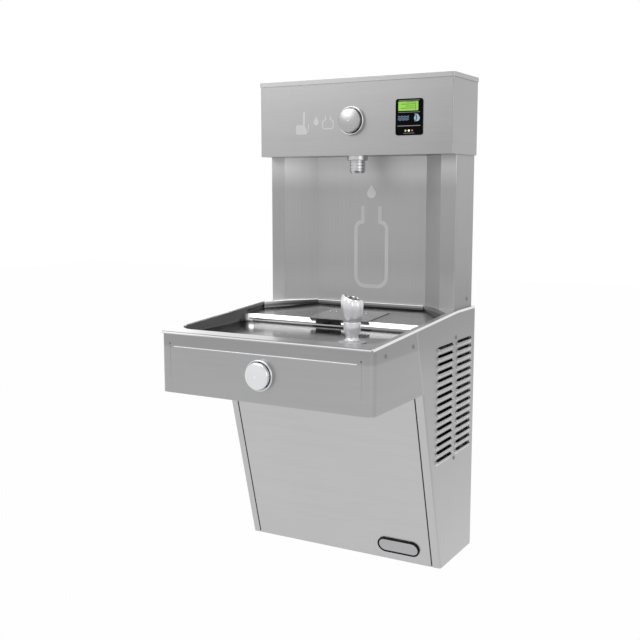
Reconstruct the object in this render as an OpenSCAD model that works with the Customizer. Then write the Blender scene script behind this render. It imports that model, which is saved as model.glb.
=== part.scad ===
// Wall-hung bottle filling station above a drinking basin, with its water chiller in the cabinet.
// X runs to the viewer's right and Y towards the wall, which is the plane Y = 0. Z is up. The
// origin is on the wall, at the middle of the cabinet's bottom edge.

/* [Cabinet] */
// Width across the side panels
cabinet_w = 457; // [440:1:480]
// Depth of the cabinet at its bottom edge
foot_d = 168; // [164:1:180]
// Lean of the access panel from upright, in degrees
lean = 15; // [13:0.5:17]
// Thickness of the stainless sheet
sheet = 1.2; // [0.9:0.1:1.5]
// Thickness of the frame's steel
frame_t = 2; // [1.5:0.25:2.5]
// Width of the side panels' front flanges
flange_w = 18; // [15:1:22]
// Radius of the side panels' front bends
side_bend_r = 6; // [3:0.5:8]
// Open seam on each side of the access panel
seam = 1.6; // [1:0.1:2.5]

/* [Basin] */
// Depth of the basin from the wall to its front
basin_d = 487; // [475:1:500]
// Height of the level rim beside the tower
rim_z = 527; // [520:1:540]
// Fall of the rim from the tower to the front
rim_fall = 24; // [18:1:28]
// Height of the rim's turned-down lip
lip_h = 5; // [4:0.5:7]
// Radius of the rim's front corners
rim_corner_r = 7; // [4:1:9]
// Width of the rim along the sides
side_rim = 11.5; // [10:0.5:14]
// Width of the rim along the front
front_rim = 30; // [24:1:36]
// Depth of the rear deck below the rim
deck_drop = 14; // [11:0.5:16]
// Distance from the wall to the deck's front edge
deck_front = 205; // [195:1:215]
// Depth of the bowl's floor below the deck's front edge
bowl_drop = 17; // [15:1:20]
// Radius of the bowl's front corners
bowl_corner_r = 42; // [32:1:48]
// Radius between the bowl's floor and its walls
bowl_fillet = 6; // [4:1:9]
// Radius of the raised corner that carries the bubbler
ledge_r = 140; // [125:1:150]

/* [Apron] */
// Height of the apron's bottom edge
apron_z = 384; // [376:1:392]
// Radius of the apron's front corners
apron_r = 15; // [12:1:18]
// Radius of the bead pressed across the apron
bead_r = 1.6; // [1:0.2:2.4]

/* [Drain] */
// Width of the loose plate over the drain
drain_plate_w = 138; // [130:1:150]
// Depth of the drain plate from front to back
drain_plate_d = 104; // [96:1:112]
// Width of the drain slot in the bowl's rear wall
slot_w = 61; // [50:1:70]
// Outside diameter of the waste tube
waste_d = 31.8; // [28:0.1:34]

/* [Bubbler] */
// Distance of the bubbler from the cabinet's right side
bubbler_side = 88.5; // [84:0.5:96]
// Distance of the bubbler behind the basin's front
bubbler_inset = 92; // [88:1:98]
// Height of the bubbler above its ledge
bubbler_h = 85; // [80:1:92]
// Diameter of the bubbler's hood
bubbler_d = 47; // [44:1:49]

/* [Tower] */
// Width of the tower
tower_w = 440; // [430:1:444]
// Depth of the tower from the wall
tower_d = 97; // [94:1:102]
// Height of the bottle alcove
alcove_h = 315; // [290:1:340]
// Width of the tower's front flanges beside the alcove
tower_flange = 34; // [28:1:42]
// Depth of the alcove behind the tower's front
alcove_d = 55; // [50:1:56]

/* [Filler head] */
// Width of the filler head
head_w = 449; // [446:1:456]
// Depth of the filler head from the wall
head_d = 132; // [128:1:140]
// Height of the filler head below its cover
head_h = 157; // [150:1:165]
// Height of the cover's lip
cover_lip = 8; // [6:1:11]
// Distance of the nozzle from the wall
nozzle_reach = 105; // [100:1:108]
// Diameter of the nozzle's body
nozzle_d = 33; // [30:1:36]
// Length of the nozzle below the head
nozzle_l = 36; // [30:1:42]

/* [Push buttons] */
// Diameter of the push buttons
button_d = 50; // [46:1:52]
// Diameter of the rings round the push buttons
bezel_d = 59; // [58:1:64]
// Travel of the push buttons
travel = 4; // [3:0.25:4.5]
// Height of the filler's button above the head's underside
filler_button_h = 71; // [66:1:76]
// Height of the bubbler's button above the apron's bottom edge
bubbler_button_h = 53; // [48:1:55]

/* [Display] */
// Width of the display panel
display_w = 59.5; // [56:0.5:64]
// Height of the display panel
display_h = 72; // [68:1:76]
// Distance of the display's middle to the right of the centre line
display_x = 130; // [124:1:136]
// Height of the display's middle above the head's underside
display_mid = 74; // [70:1:78]

/* [Louvres] */
// Number of louvres in each column
louvre_rows = 15; // [8:1:15]
// Height from one louvre to the next
louvre_pitch = 16.2; // [15.5:0.1:16.6]
// Length of a louvre between its rounded ends
louvre_l = 82; // [76:1:84]
// Stand-off of a louvre's hood from the panel
louvre_rise = 4.5; // [3.5:0.1:5]
// Height of the lowest louvre
louvre_z = 233; // [230:1:240]

/* [Badge] */
// Length of the blank plaque on the access panel
badge_l = 95; // [85:1:100]
// Height of the plaque
badge_h = 34; // [30:1:38]

/* [Chiller] */
// Diameter of the compressor's shell
compressor_d = 124; // [116:1:128]
// Height of the compressor's shell
compressor_h = 150; // [135:1:160]
// Diameter of the condenser fan
fan_d = 150; // [140:1:156]
// Diameter of the insulated cooling tank
tank_d = 104; // [96:1:108]
// Height of the cooling tank
tank_h = 185; // [170:1:190]
// Diameter of the water filter
filter_d = 72; // [66:1:76]
// Height of the water filter's cartridge
filter_h = 150; // [140:1:158]

/* [Hidden] */
$fn = 64;

// Finishes
steel = [0.74, 0.74, 0.75];
satin = [0.66, 0.66, 0.67];
zinc = [0.62, 0.64, 0.64];
bright = [0.86, 0.87, 0.88];
black = [0.08, 0.08, 0.09];
white = [0.9, 0.9, 0.88];
copper = [0.72, 0.43, 0.28];
brass = [0.75, 0.62, 0.32];
board_green = [0.1, 0.35, 0.2];
screen_green = [0.59, 0.78, 0.31];

// Overrun of every cut, running clearance on the radius, and gap between loose covers
over = 2;
fit = 0.05;
gap = 0.3;
// Thickness of the discs that stand for sections in a hull
slice = 0.01;
hull_fn = 40;
fillet_steps = 4;

// Places that follow from the driving sizes
half_w = cabinet_w / 2;
inner_half = half_w - sheet;
frame_half = inner_half - frame_t;
rim_slope = rim_fall / (basin_d - tower_d);
bowl_half = half_w - side_rim;
bowl_front = basin_d - front_rim;
head_z = rim_z + alcove_h;
mouth_w = tower_w - 2 * tower_flange;
bubbler_x = half_w - bubbler_side;
bubbler_reach = basin_d - bubbler_inset;
panel_half = half_w - flange_w - seam;
panel_lap = 20;
panel_top = apron_z + panel_lap;
panel_return = 14;

// Leaning front of the cabinet at a height, moved inwards square to the panel by an inset
function front_y(z, inset = 0) = inset / cos(lean) - foot_d - z * tan(lean);
// Height of the rim, and of the rear deck that runs parallel to it
function rim_at(y) = rim_z - max(0, -y - tower_d) * rim_slope;
function deck_at(y) = rim_z + (y + tower_d) * rim_slope - deck_drop;
// Height at which the leaning front meets a surface that far below the rim
function lean_top(drop) =
    (rim_z - drop - rim_slope * (foot_d - tower_d)) / (1 + rim_slope * tan(lean));

// Vectors in the plane
function unit(v) = v / norm(v);
function left_of(v) = [-v[1], v[0]];
function turned(v, a) = [v[0] * cos(a) - v[1] * sin(a), v[0] * sin(a) + v[1] * cos(a)];

// One bend of a folded sheet: an arc round the corner q of the path p, q, s. The sheet lies to the
// left of the path, and its far face is drawn when back is 1.
bend_steps = 5;
function bend(p, q, s, r, t, back) =
    let (
        d0 = unit(q - p),
        d1 = unit(s - q),
        turn = sign(d0[0] * d1[1] - d0[1] * d1[0]),
        angle = acos(d0 * d1),
        face_r = turn > 0 ? r + t : r,
        middle = q + turn * unit(left_of(d0) + left_of(d1)) * face_r / cos(angle / 2)
    )
    [for (i = [0:bend_steps])
        middle
        - turn * turned(left_of(d0), turn * angle * i / bend_steps) * (face_r - back * turn * t)];
function folded_face(path, r, t, back) =
    let (n = len(path), d0 = unit(path[1] - path[0]), d1 = unit(path[n - 1] - path[n - 2]))
    concat(
        [path[0] + left_of(d0) * t * back],
        [for (i = [1:n - 2]) each bend(path[i - 1], path[i], path[i + 1], r, t, back)],
        [path[n - 1] + left_of(d1) * t * back]
    );
function reversed(list) = [for (i = [len(list) - 1:-1:0]) list[i]];

// Sheet of one thickness folded along a path, with rounded bends
module folded_sheet(path, r, t, h) {
    linear_extrude(h)
        polygon(concat(folded_face(path, r, t, 0), reversed(folded_face(path, r, t, 1))));
}

// Side outline with Y and Z as its axes, spread w across X
module across(w) {
    rotate([90, 0, 90]) linear_extrude(w, center = true) children();
}

// Outline on the wall side of a front with two rounded corners
module front_rounded(w, d, r) {
    translate([-w / 2, r - d]) square([w, d - r]);
    translate([r - w / 2, -d]) square([w - 2 * r, d]);
    for (side = [-1, 1]) translate([side * (w / 2 - r), r - d]) circle(r);
}

// Rectangle with round corners, centred
module rounded_rect(w, h, r) {
    square([w - 2 * r, h], center = true);
    square([w, h - 2 * r], center = true);
    for (x = [-1, 1], y = [-1, 1]) translate([x * (w / 2 - r), y * (h / 2 - r)]) circle(r);
}

// Outline with half-round ends, centred
module stadium(w, h) {
    square([w - h, h], center = true);
    for (end = [-1, 1]) translate([end * (w - h) / 2, 0]) circle(h / 2);
}

// Children drawn in X and Z, with their own Z turned to face away from the wall
module facing_front(x, y, z) {
    translate([x, y, z]) rotate([90, 0, 0]) children();
}

module ring(outer, inner, h) {
    difference() {
        cylinder(r = outer, h = h);
        translate([0, 0, -over]) cylinder(r = inner, h = h + 2 * over);
    }
}

module hex_nut(across_flats, bore_r, h) {
    difference() {
        cylinder(r = across_flats / sqrt(3), h = h, $fn = 6);
        translate([0, 0, -over]) cylinder(r = bore_r, h = h + 2 * over);
    }
}

// Round tube along points whose runs meet square, with a quarter bend at each corner
module tube_run(points, r, wall, bend_r) {
    n = len(points);
    for (i = [0:n - 2]) {
        d = unit(points[i + 1] - points[i]);
        from = points[i] + (i > 0 ? bend_r : 0) * d;
        to = points[i + 1] - (i < n - 2 ? bend_r : 0) * d;
        side = abs(d[2]) > 0 ? [1, 0, 0] : [0, 0, 1];
        placed(from, side, cross(d, side), d) linear_extrude(norm(to - from)) tube_ring(r, wall);
    }
    for (i = [1:n - 2]) {
        d0 = unit(points[i] - points[i - 1]);
        d1 = unit(points[i + 1] - points[i]);
        placed(points[i] + bend_r * (d1 - d0), -d1, d0, cross(-d1, d0))
            rotate_extrude(angle = 90) translate([bend_r, 0]) tube_ring(r, wall);
    }
}
module tube_ring(r, wall) {
    difference() {
        circle(r);
        circle(r - wall);
    }
}
module placed(origin, u, v, w) {
    multmatrix([
        [u[0], v[0], w[0], origin[0]],
        [u[1], v[1], w[1], origin[1]],
        [u[2], v[2], w[2], origin[2]],
        [0, 0, 0, 1]
    ]) children();
}

// Wall frame and hanger
rail_w = 30;
leg_d = 25;
bend_r = 1.5;
foot_rail_h = 40;
hook_gap = bend_r + gap;
hanger_inset = 27.3;
hanger_w = 2 * (inner_half - rail_w - hanger_inset);
hanger_z = 430;
hanger_h = 42;
hanger_shelf = 8;
hanger_lip = 12;
hook_drop = 9;
hook_h = 58;
wall_bolt_r = 4.5;
hanger_bolt_inset = 30;
hanger_bolt_span = hanger_w - 2 * hanger_bolt_inset;
frame_top = rim_z - sheet;
hook_top = hanger_z + hanger_h + hanger_lip;
hook_front = -2 * frame_t - hanger_shelf - hook_gap;
hook_face = hook_front - frame_t;
rail_half = inner_half - rail_w / 2;
hook_half = inner_half - frame_t / 2;

module rear_frame() color(zinc) {
    for (side = [0, 1]) mirror([side, 0, 0])
        folded_sheet(
            [[inner_half, -leg_d], [inner_half, 0], [inner_half - rail_w, 0]], bend_r, frame_t, frame_top
        );
    for (z = [0, frame_top - foot_rail_h]) translate([-rail_half, -frame_t, z])
        cube([2 * rail_half, frame_t, foot_rail_h]);
    hanging_rail();
}

// Rail that hooks down behind the hanger's raised lip
module hanging_rail() {
    back = -2 * frame_t - hook_gap;
    rotate([90, 0, 90]) translate([0, 0, -hook_half])
        folded_sheet(
            [[hook_front, hook_top + frame_t - hook_h], [hook_front, hook_top], [back, hook_top],
             [back, hook_top + frame_t - hook_drop]],
            bend_r, frame_t, 2 * hook_half
        );
}

module hanger_bracket() color(zinc)
    difference() {
        rotate([90, 0, 90]) translate([0, 0, -hanger_w / 2])
            folded_sheet(
                [[0, hanger_z], [0, hanger_z + hanger_h],
                 [-frame_t - hanger_shelf, hanger_z + hanger_h],
                 [-frame_t - hanger_shelf, hook_top]],
                bend_r, frame_t, hanger_w
            );
        for (side = [-1, 1])
            facing_front(side * hanger_bolt_span / 2, over, hanger_z + hanger_h / 2)
                cylinder(r = wall_bolt_r, h = 2 * over + frame_t);
    }

// Outline of the cabinet's inside between two heights, behind the leaning front by an inset
module wedge(z0, z1, inset, back) {
    polygon([[-back, z0], [-back, z1], [front_y(z1, inset), z1], [front_y(z0, inset), z0]]);
}

module leaning_band(z0, z1, inset0, inset1) {
    polygon([
        [front_y(z0, inset0), z0], [front_y(z1, inset0), z1], [front_y(z1, inset1), z1],
        [front_y(z0, inset1), z0]
    ]);
}

pan_t = 1.5;
pan_lip = 15;
module bottom_pan() color(zinc)
    difference() {
        across(2 * inner_half) wedge(0, pan_lip, panel_return, frame_t);
        across(2 * (inner_half - frame_t - pan_t))
            wedge(pan_t, pan_lip + over, panel_return + pan_t, frame_t + pan_t);
        leg_notches();
    }
module leg_notches() {
    for (side = [0, 1]) mirror([side, 0, 0]) {
        translate([frame_half, -leg_d, -over]) cube([leg_d, leg_d + over, rim_z]);
        translate([frame_half, -frame_t, 0]) rotate([0, 0, 45])
            cube([bend_r * sqrt(2), bend_r * sqrt(2), 2 * rim_z], center = true);
    }
}

shelf_z = 226;
shelf_lip = 12;
shelf_back = 2;
line_hole_r = 9;
compressor_x = -88;
compressor_reach = 100;
line_offset = 30;
line_places = [
    [compressor_x - line_offset, line_offset - compressor_reach],
    [compressor_x + line_offset, -line_offset - compressor_reach]
];
module component_shelf() color(zinc)
    difference() {
        across(2 * inner_half)
            wedge(shelf_z - shelf_lip, shelf_z, panel_return + shelf_back, frame_t);
        across(2 * (inner_half - frame_t))
            wedge(
                shelf_z - shelf_lip - over, shelf_z - pan_t, panel_return + shelf_back + pan_t,
                frame_t + pan_t
            );
        for (p = line_places) translate([p[0], p[1], shelf_z - over - pan_t])
            cylinder(r = line_hole_r, h = pan_t + 2 * over);
        leg_notches();
        for (side = [0, 1]) mirror([side, 0, 0]) screw_hole(half_w, -rivet_reach, rivet_z_low, rivet_r);
    }

// Louvres: each is a rounded hood pressed out below a slot that opens upwards
hood_r = 7;
hood_lip = 1;
column_front = 203;
column_rear = 100;
rivet_z_low = shelf_z - shelf_lip / 2;
rivet_drop = 54;
rivet_z_high = rim_z - rivet_drop;
rivet_reach = 106;
rivet_r = 2;
function louvre_heights() = [for (i = [0:louvre_rows - 1]) louvre_z + i * louvre_pitch];
function louvre_middles() = [louvre_l / 2 - column_front, louvre_l / 2 - column_rear];

// Capsule whose crown stands off the panel's outer face by the rise
module louvre_form(r) {
    half = louvre_l / 2 - hood_r;
    translate([half_w + louvre_rise - hood_r, 0, 0]) {
        rotate([90, 0, 0]) cylinder(r = r, h = 2 * half, center = true);
        for (end = [-1, 1]) translate([0, end * half, 0]) sphere(r);
    }
}

// Cabinet inside its leaning front, with bends of a radius along the front's two sides
module leaning_block(inset, r) {
    translate([0, -foot_d, 0]) rotate([lean, 0, 0]) translate([0, inset + basin_d, -foot_d])
        linear_extrude(foot_d + rim_z) front_rounded(2 * (half_w - inset), basin_d, r);
}
// Side panel below the apron's bottom edge, folded round to its front flange
module side_fold() {
    difference() {
        intersection() {
            translate([half_w - flange_w / 2, 0, 0]) across(flange_w) wedge(0, apron_z, -over, 0);
            leaning_block(0, side_bend_r);
        }
        intersection() {
            translate([half_w - flange_w / 2, 0, 0]) across(flange_w + 2 * over)
                wedge(-over, apron_z + over, -over, -over);
            leaning_block(sheet, side_bend_r - sheet);
        }
    }
}
// Side panel above that edge, where it is flat
module side_flat() {
    top = lean_top(lip_h);
    translate([half_w - sheet / 2, 0, 0]) across(sheet) polygon([
        [0, apron_z], [front_y(apron_z), apron_z], [front_y(top), top], [-tower_d, rim_z - lip_h],
        [0, rim_z - lip_h]
    ]);
}

module side_panel() {
    difference() {
        union() {
            side_fold();
            side_flat();
            for (y = louvre_middles(), z = louvre_heights()) translate([0, y, z]) louvre_hood();
        }
        for (y = louvre_middles(), z = louvre_heights()) translate([0, y, z])
            louvre_form(hood_r - sheet);
        for (z = [rivet_z_low, rivet_z_high]) screw_hole(half_w, -rivet_reach, z, rivet_r);
    }
}
module louvre_hood() {
    intersection() {
        louvre_form(hood_r);
        translate([half_w - sheet, -louvre_l / 2 - over, -hood_r - over])
            cube([hood_r + over, louvre_l + 2 * over, hood_r + over + hood_lip]);
    }
}
module side_panel_right() color(steel) side_panel();
module side_panel_left() color(steel) mirror([1, 0, 0]) side_panel();

module access_panel() color(steel)
    difference() {
        across(2 * panel_half) leaning_band(0, panel_top, 0, panel_return);
        across(2 * (panel_half - sheet))
            leaning_band(sheet, panel_top + over, sheet, panel_return + over);
    }

// Blank plaque near the panel's lower right corner
badge_inset = 70.9;
badge_x = panel_half - badge_inset;
badge_z = 34;
badge_t = 3;
badge_border = 3.5;
badge_recess = 1;
badge_face_t = 1.5;
module on_access_panel(x, z) {
    translate([x, front_y(z), z]) rotate([90 + lean, 0, 0]) children();
}
module badge_rim() color(black) on_access_panel(badge_x, badge_z)
    difference() {
        linear_extrude(badge_t) stadium(badge_l, badge_h);
        translate([0, 0, badge_recess]) linear_extrude(badge_t)
            stadium(badge_l - 2 * badge_border, badge_h - 2 * badge_border);
    }
module badge_face() color(satin) on_access_panel(badge_x, badge_z)
    translate([0, 0, badge_recess]) linear_extrude(badge_face_t)
        stadium(badge_l - 2 * badge_border, badge_h - 2 * badge_border);

// Screws: shank, head height and head radius, all with button heads
screw_r = 2.4;
screw_l = 7;
head_r = 4.6;
screw_head_h = 2.2;
apron_screw_drop = 43;
rear_screw_inset = 168;
front_screw_inset = 50;
apron_screw_z = rim_z - apron_screw_drop;
apron_screw_reaches = [basin_d - rear_screw_inset, basin_d - front_screw_inset];
tower_screw_reach = 27;
tower_screw_rise = 17;
module screw_hole(x, y, z, r) {
    translate([x - sheet - over - frame_t, y, z]) rotate([0, 90, 0])
        cylinder(r = r + fit, h = 2 * over + sheet + frame_t);
}
module side_screw(x, y, z, r, l) {
    cap_r = (head_r * head_r + screw_head_h * screw_head_h) / (2 * screw_head_h);
    translate([x, y, z]) rotate([0, 90, 0]) {
        translate([0, 0, -l]) cylinder(r = r, h = l);
        intersection() {
            cylinder(r = head_r, h = screw_head_h);
            translate([0, 0, screw_head_h - cap_r]) sphere(cap_r);
        }
    }
}
module casing_screws() color(bright) for (side = [0, 1]) mirror([side, 0, 0]) {
    for (z = [rivet_z_low, rivet_z_high])
        side_screw(half_w, -rivet_reach, z, rivet_r, sheet + frame_t);
    for (d = apron_screw_reaches) side_screw(half_w, -d, apron_screw_z, screw_r, screw_l);
    side_screw(tower_w / 2, -tower_screw_reach, rim_z + tower_screw_rise, screw_r, screw_l);
}

// Basin
rear_ledge = 5;
riser_corner_r = 25;
bowl_fall = 1.5;
ledge_skirt = 10;
ledge_drop = 13;
spill_reach = 24;
slot_x = -15;
slot_h = 11;
drain_hole_d = 60;
drain_hole_w = 66;
ledge_z = rim_at(-bubbler_reach) - ledge_drop;
shank_r = 9;
riser_x = -125;
riser_reach = 24;
riser_hole_r = 9;
filler_tube_r = 5;
function bowl_at(y) =
    deck_at(-deck_front) - bowl_drop + bowl_fall * (-y - deck_front) / (bowl_front - deck_front);

// Space between two surfaces below the rim, in side view
module below_rim(top, bottom) {
    front = -basin_d - over;
    polygon([
        [over, rim_z - top], [-tower_d, rim_z - top], [front, rim_at(front) - top],
        [front, rim_at(front) - bottom], [-tower_d, rim_z - bottom], [over, rim_z - bottom]
    ]);
}
module rim_block(inset, top, bottom, back) {
    intersection() {
        translate([0, back, rim_at(-basin_d) - bottom - over])
            linear_extrude(rim_fall + bottom + 2 * over)
                front_rounded(2 * (half_w - inset), basin_d - inset + back, rim_corner_r - inset);
        across(2 * (half_w + over)) below_rim(top, bottom);
    }
}

// Outline of the hollow from above: it follows the alcove's angled corners at the back
module hollow_outline(grow) {
    far = -basin_d - over;
    back = alcove_d - tower_d - rear_ledge + grow;
    corner = mouth_w / 2 - tower_d - (rear_ledge - grow) * sqrt(2);
    x1 = bowl_half + grow;
    intersection() {
        front_rounded(2 * x1, bowl_front + grow, bowl_corner_r + grow);
        polygon([
            [x1 + over, far], [x1 + over, corner - x1 - over], [corner - back, back],
            [back - corner, back], [-x1 - over, corner - x1 - over], [-x1 - over, far]
        ]);
    }
}
module deck_hollow(grow) {
    intersection() {
        translate([0, 0, rim_z - rim_fall - deck_drop - over - sheet])
            linear_extrude(rim_fall + deck_drop + sheet + 2 * over) hollow_outline(grow);
        across(2 * half_w) polygon([
            [0, deck_at(0) - grow], [0, rim_z + 2 * over], [-basin_d, rim_z + 2 * over],
            [-basin_d, deck_at(-basin_d) - grow]
        ]);
    }
}
module bowl_hollow(grow) {
    corners = [
        [bowl_half - bowl_corner_r, bowl_corner_r - bowl_front, bowl_corner_r],
        [bowl_half - riser_corner_r, -deck_front - riser_corner_r, riser_corner_r]
    ];
    f = bowl_fillet + grow;
    hull() for (side = [-1, 1], c = corners) translate([side * c[0], c[1], bowl_at(c[1]) - grow]) {
        for (a = [0:90 / fillet_steps:89]) translate([0, 0, f * (1 - cos(a))])
            cylinder(r = c[2] + grow - f * (1 - sin(a)), h = slice, $fn = hull_fn);
        translate([0, 0, f])
            cylinder(r = c[2] + grow, h = rim_z + over - bowl_at(c[1]) + grow - f, $fn = hull_fn);
    }
}
module hollow(grow) {
    difference() {
        union() {
            deck_hollow(grow);
            bowl_hollow(grow);
        }
        translate([bowl_half, -bowl_front, ledge_z - grow - bowl_drop])
            cylinder(r1 = ledge_r + ledge_skirt - grow, r2 = ledge_r - grow, h = bowl_drop);
    }
}
module basin() color(steel)
    difference() {
        union() {
            difference() {
                rim_block(0, 0, lip_h, 0);
                rim_block(sheet, sheet, lip_h + over, over);
            }
            intersection() {
                hollow(sheet);
                rim_block(0, 0, rim_fall + deck_drop + bowl_drop, 0);
            }
        }
        hollow(0);
        translate([slot_x, -deck_front, deck_at(-deck_front) - slot_h / 2 - sheet])
            cube([slot_w, 2 * over, slot_h], center = true);
        translate([slot_x, -deck_front + spill_reach / 2 + drain_hole_d / 2, rim_z - deck_drop])
            cube([drain_hole_w, drain_hole_d, 2 * rim_fall], center = true);
        translate([bubbler_x, -bubbler_reach, ledge_z - sheet - over])
            cylinder(r = shank_r + fit, h = sheet + 2 * over);
        translate([riser_x, -riser_reach, rim_z - sheet - over])
            cylinder(r = riser_hole_r, h = sheet + 2 * over);
    }

// Brackets inside the apron's sides that carry the basin
arm_h = 60;
arm_end = 2;
module basin_arms() color(zinc) difference() {
    for (side = [-1, 1]) translate([side * (inner_half - frame_t / 2), 0, 0]) across(frame_t)
        polygon([
            [-leg_d, rim_z - sheet], [-tower_d, rim_z - sheet],
            [apron_r + arm_end - basin_d, rim_at(apron_r + arm_end - basin_d) - sheet],
            [apron_r + arm_end - basin_d, rim_at(apron_r + arm_end - basin_d) - sheet - arm_h / 2],
            [-leg_d, rim_z - sheet - arm_h]
        ]);
    for (side = [0, 1]) mirror([side, 0, 0]) {
        screw_hole(half_w, -rivet_reach, rivet_z_high, rivet_r);
        for (d = apron_screw_reaches) screw_hole(half_w, -d, apron_screw_z, screw_r);
    }
}

// Push buttons, drawn with Z out of the panel they sit in
ring_w = 3.6;
ring_h = 7;
ring_floor = 1.5;
barrel_r = 14;
barrel_l = 30;
stem_r = 6;
button_nut_h = 6;
button_nut_af = 38;
cap_side = 9;
cap_dome = 3.5;
cap_edge = 2.5;
cap_wall = 2;
cap_start = ring_floor + travel + 2 * gap;
spring_r = 9.5;
spring_wire = 0.6;
spring_turns = 4;
clip_t = 1.4;
clip_r = 9;
stem_over = 5;
plunger_r = 3.5;
plunger_l = 20;
body_collar = 22;
body_r = 19;
stem_end = -barrel_l - stem_over;
collar_start = -sheet - button_nut_h;
body_start = stem_end - travel - 2 * gap;
plunger_floor = stem_end - plunger_l - travel;

module button_bezel() rotate_extrude() {
    bore = stem_r + fit;
    translate([bore, 0]) square([bezel_d / 2 - ring_w / 2 - bore, ring_floor]);
    translate([bezel_d / 2 - ring_w, 0]) square([ring_w, ring_h - ring_w / 2]);
    translate([bezel_d / 2 - ring_w / 2, ring_h - ring_w / 2]) circle(ring_w / 2);
    translate([bore, -barrel_l]) square([barrel_r - bore, barrel_l + ring_floor]);
}
module button_cap() {
    r = button_d / 2;
    dome_r = (r * r + cap_dome * cap_dome) / (2 * cap_dome);
    rotate_extrude() {
        difference() {
            intersection() {
                union() {
                    translate([0, cap_start]) square([r - cap_edge, cap_side + cap_dome]);
                    translate([0, cap_start]) square([r, cap_side - cap_edge]);
                    translate([r - cap_edge, cap_start + cap_side - cap_edge]) circle(cap_edge);
                }
                translate([0, cap_start + cap_side + cap_dome - dome_r]) circle(dome_r);
                translate([0, cap_start]) square([r, cap_side + cap_dome]);
            }
            translate([0, cap_start - over]) square([r - cap_wall, cap_side - cap_wall + over]);
        }
        translate([0, stem_end]) square([stem_r, cap_start + cap_side - stem_end]);
    }
}
module button_spring() {
    bottom = ring_floor + spring_wire + slice;
    top = cap_start + cap_side - cap_wall - spring_wire - slice;
    coil(spring_r, spring_wire, bottom, top, spring_turns);
}
module button_nut() translate([0, 0, -sheet - button_nut_h])
    hex_nut(button_nut_af, barrel_r + fit, button_nut_h);
module button_clip() translate([0, 0, -barrel_l - gap - clip_t]) ring(clip_r, stem_r + fit, clip_t);

// Body that screws onto the bezel's barrel and holds what the stem pushes
module button_body(l) difference() {
    translate([0, 0, body_start - l]) cylinder(r = body_r, h = l + collar_start - body_start);
    translate([0, 0, body_start]) cylinder(r = barrel_r + fit, h = collar_start - body_start + over);
    translate([0, 0, plunger_floor])
        cylinder(r = plunger_r + fit, h = body_start - plunger_floor + over);
}
module button_plunger() translate([0, 0, stem_end - plunger_l + gap])
    cylinder(r = plunger_r, h = plunger_l - gap);

// Coil of round wire with a flatter turn at each end
coil_steps = 20;
coil_sides = 6;
coil_end_rise = 2.6;
function coil_z(turn, turns, rise, h) =
    turn < 1 ? rise * turn
    : turn > turns - 1 ? h - rise * (turns - turn)
    : rise + (h - 2 * rise) * (turn - 1) / (turns - 2);
module coil(r, wire, z0, z1, turns) {
    n = turns * coil_steps;
    rise = coil_end_rise * wire;
    points = [for (i = [0:n], k = [0:coil_sides - 1])
        let (
            a = 360 * i / coil_steps,
            b = 360 * k / coil_sides,
            d = r + wire * cos(b)
        )
        [d * cos(a), d * sin(a), z0 + coil_z(i / coil_steps, turns, rise, z1 - z0) + wire * sin(b)]];
    sides = [for (i = [0:n - 1], k = [0:coil_sides - 1])
        let (m = (k + 1) % coil_sides, o = i * coil_sides)
        each [[o + k, o + m, o + coil_sides + m], [o + k, o + coil_sides + m, o + coil_sides + k]]];
    end = n * coil_sides;
    ends = [for (k = [1:coil_sides - 2]) each [[0, k + 1, k], [end, end + k, end + k + 1]]];
    polyhedron(points, concat(sides, ends));
}

bubbler_button_z = apron_z + bubbler_button_h;
module at_apron() facing_front(0, -basin_d, bubbler_button_z) children();
module at_head() facing_front(0, -head_d, head_z + filler_button_h) children();

valve_l = 34;
switch_l = 16;
port_r = 6;
port_l = 8;
port_in = 6;
port_z = body_start - valve_l / 2;

module bubbler_bezel() color(bright) at_apron() button_bezel();
module bubbler_button() color(bright) at_apron() button_cap();
module bubbler_button_nut() color(brass) at_apron() button_nut();
module bubbler_button_spring() color(zinc) at_apron() button_spring();
module bubbler_button_clip() color(zinc) at_apron() button_clip();
module bubbler_plunger() color(brass) at_apron() button_plunger();
module bubbler_valve() color(white) at_apron() {
    button_body(valve_l);
    for (side = [-1, 1]) translate([side * (body_r - port_in), 0, port_z]) rotate([0, side * 90, 0])
        cylinder(r = port_r, h = port_l + port_in);
}

module filler_bezel() color(bright) at_head() button_bezel();
module filler_button() color(bright) at_head() button_cap();
module filler_button_nut() color(brass) at_head() button_nut();
module filler_button_spring() color(zinc) at_head() button_spring();
module filler_button_clip() color(zinc) at_head() button_clip();
module switch_plunger() color(brass) at_head() button_plunger();
terminal_w = 5;
terminal_t = 0.8;
terminal_l = 9;
module filler_switch() color(black) at_head() {
    button_body(plunger_l + switch_l / 2);
    for (side = [-1, 1])
        translate([side * terminal_w - terminal_t / 2, -terminal_w / 2,
                   body_start - plunger_l - switch_l / 2 - terminal_l])
            cube([terminal_t, terminal_w, terminal_l]);
}

// Apron round the basin's front, cut along the cabinet's leaning edge
bead_half = 196;
bead_drop = 29;
pan_edge = 12;
module apron() color(steel) difference() {
    union() {
        intersection() {
            translate([0, over, apron_z]) linear_extrude(rim_z - apron_z) difference() {
                front_rounded(cabinet_w, basin_d + over, apron_r);
                front_rounded(2 * inner_half, basin_d + over - sheet, apron_r - sheet);
            }
            across(2 * (half_w + over)) apron_side();
        }
        translate([0, sheet / 2 - basin_d, rim_at(-basin_d) - bead_drop]) {
            rotate([0, 90, 0]) cylinder(r = bead_r, h = 2 * bead_half, center = true);
            for (end = [-1, 1]) translate([end * bead_half, 0, 0]) sphere(bead_r);
        }
    }
    at_apron() translate([0, 0, -over - sheet]) cylinder(r = barrel_r + fit, h = 2 * over + sheet);
    for (side = [0, 1], d = apron_screw_reaches) mirror([side, 0, 0])
        screw_hole(half_w, -d, apron_screw_z, screw_r);
}
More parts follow.
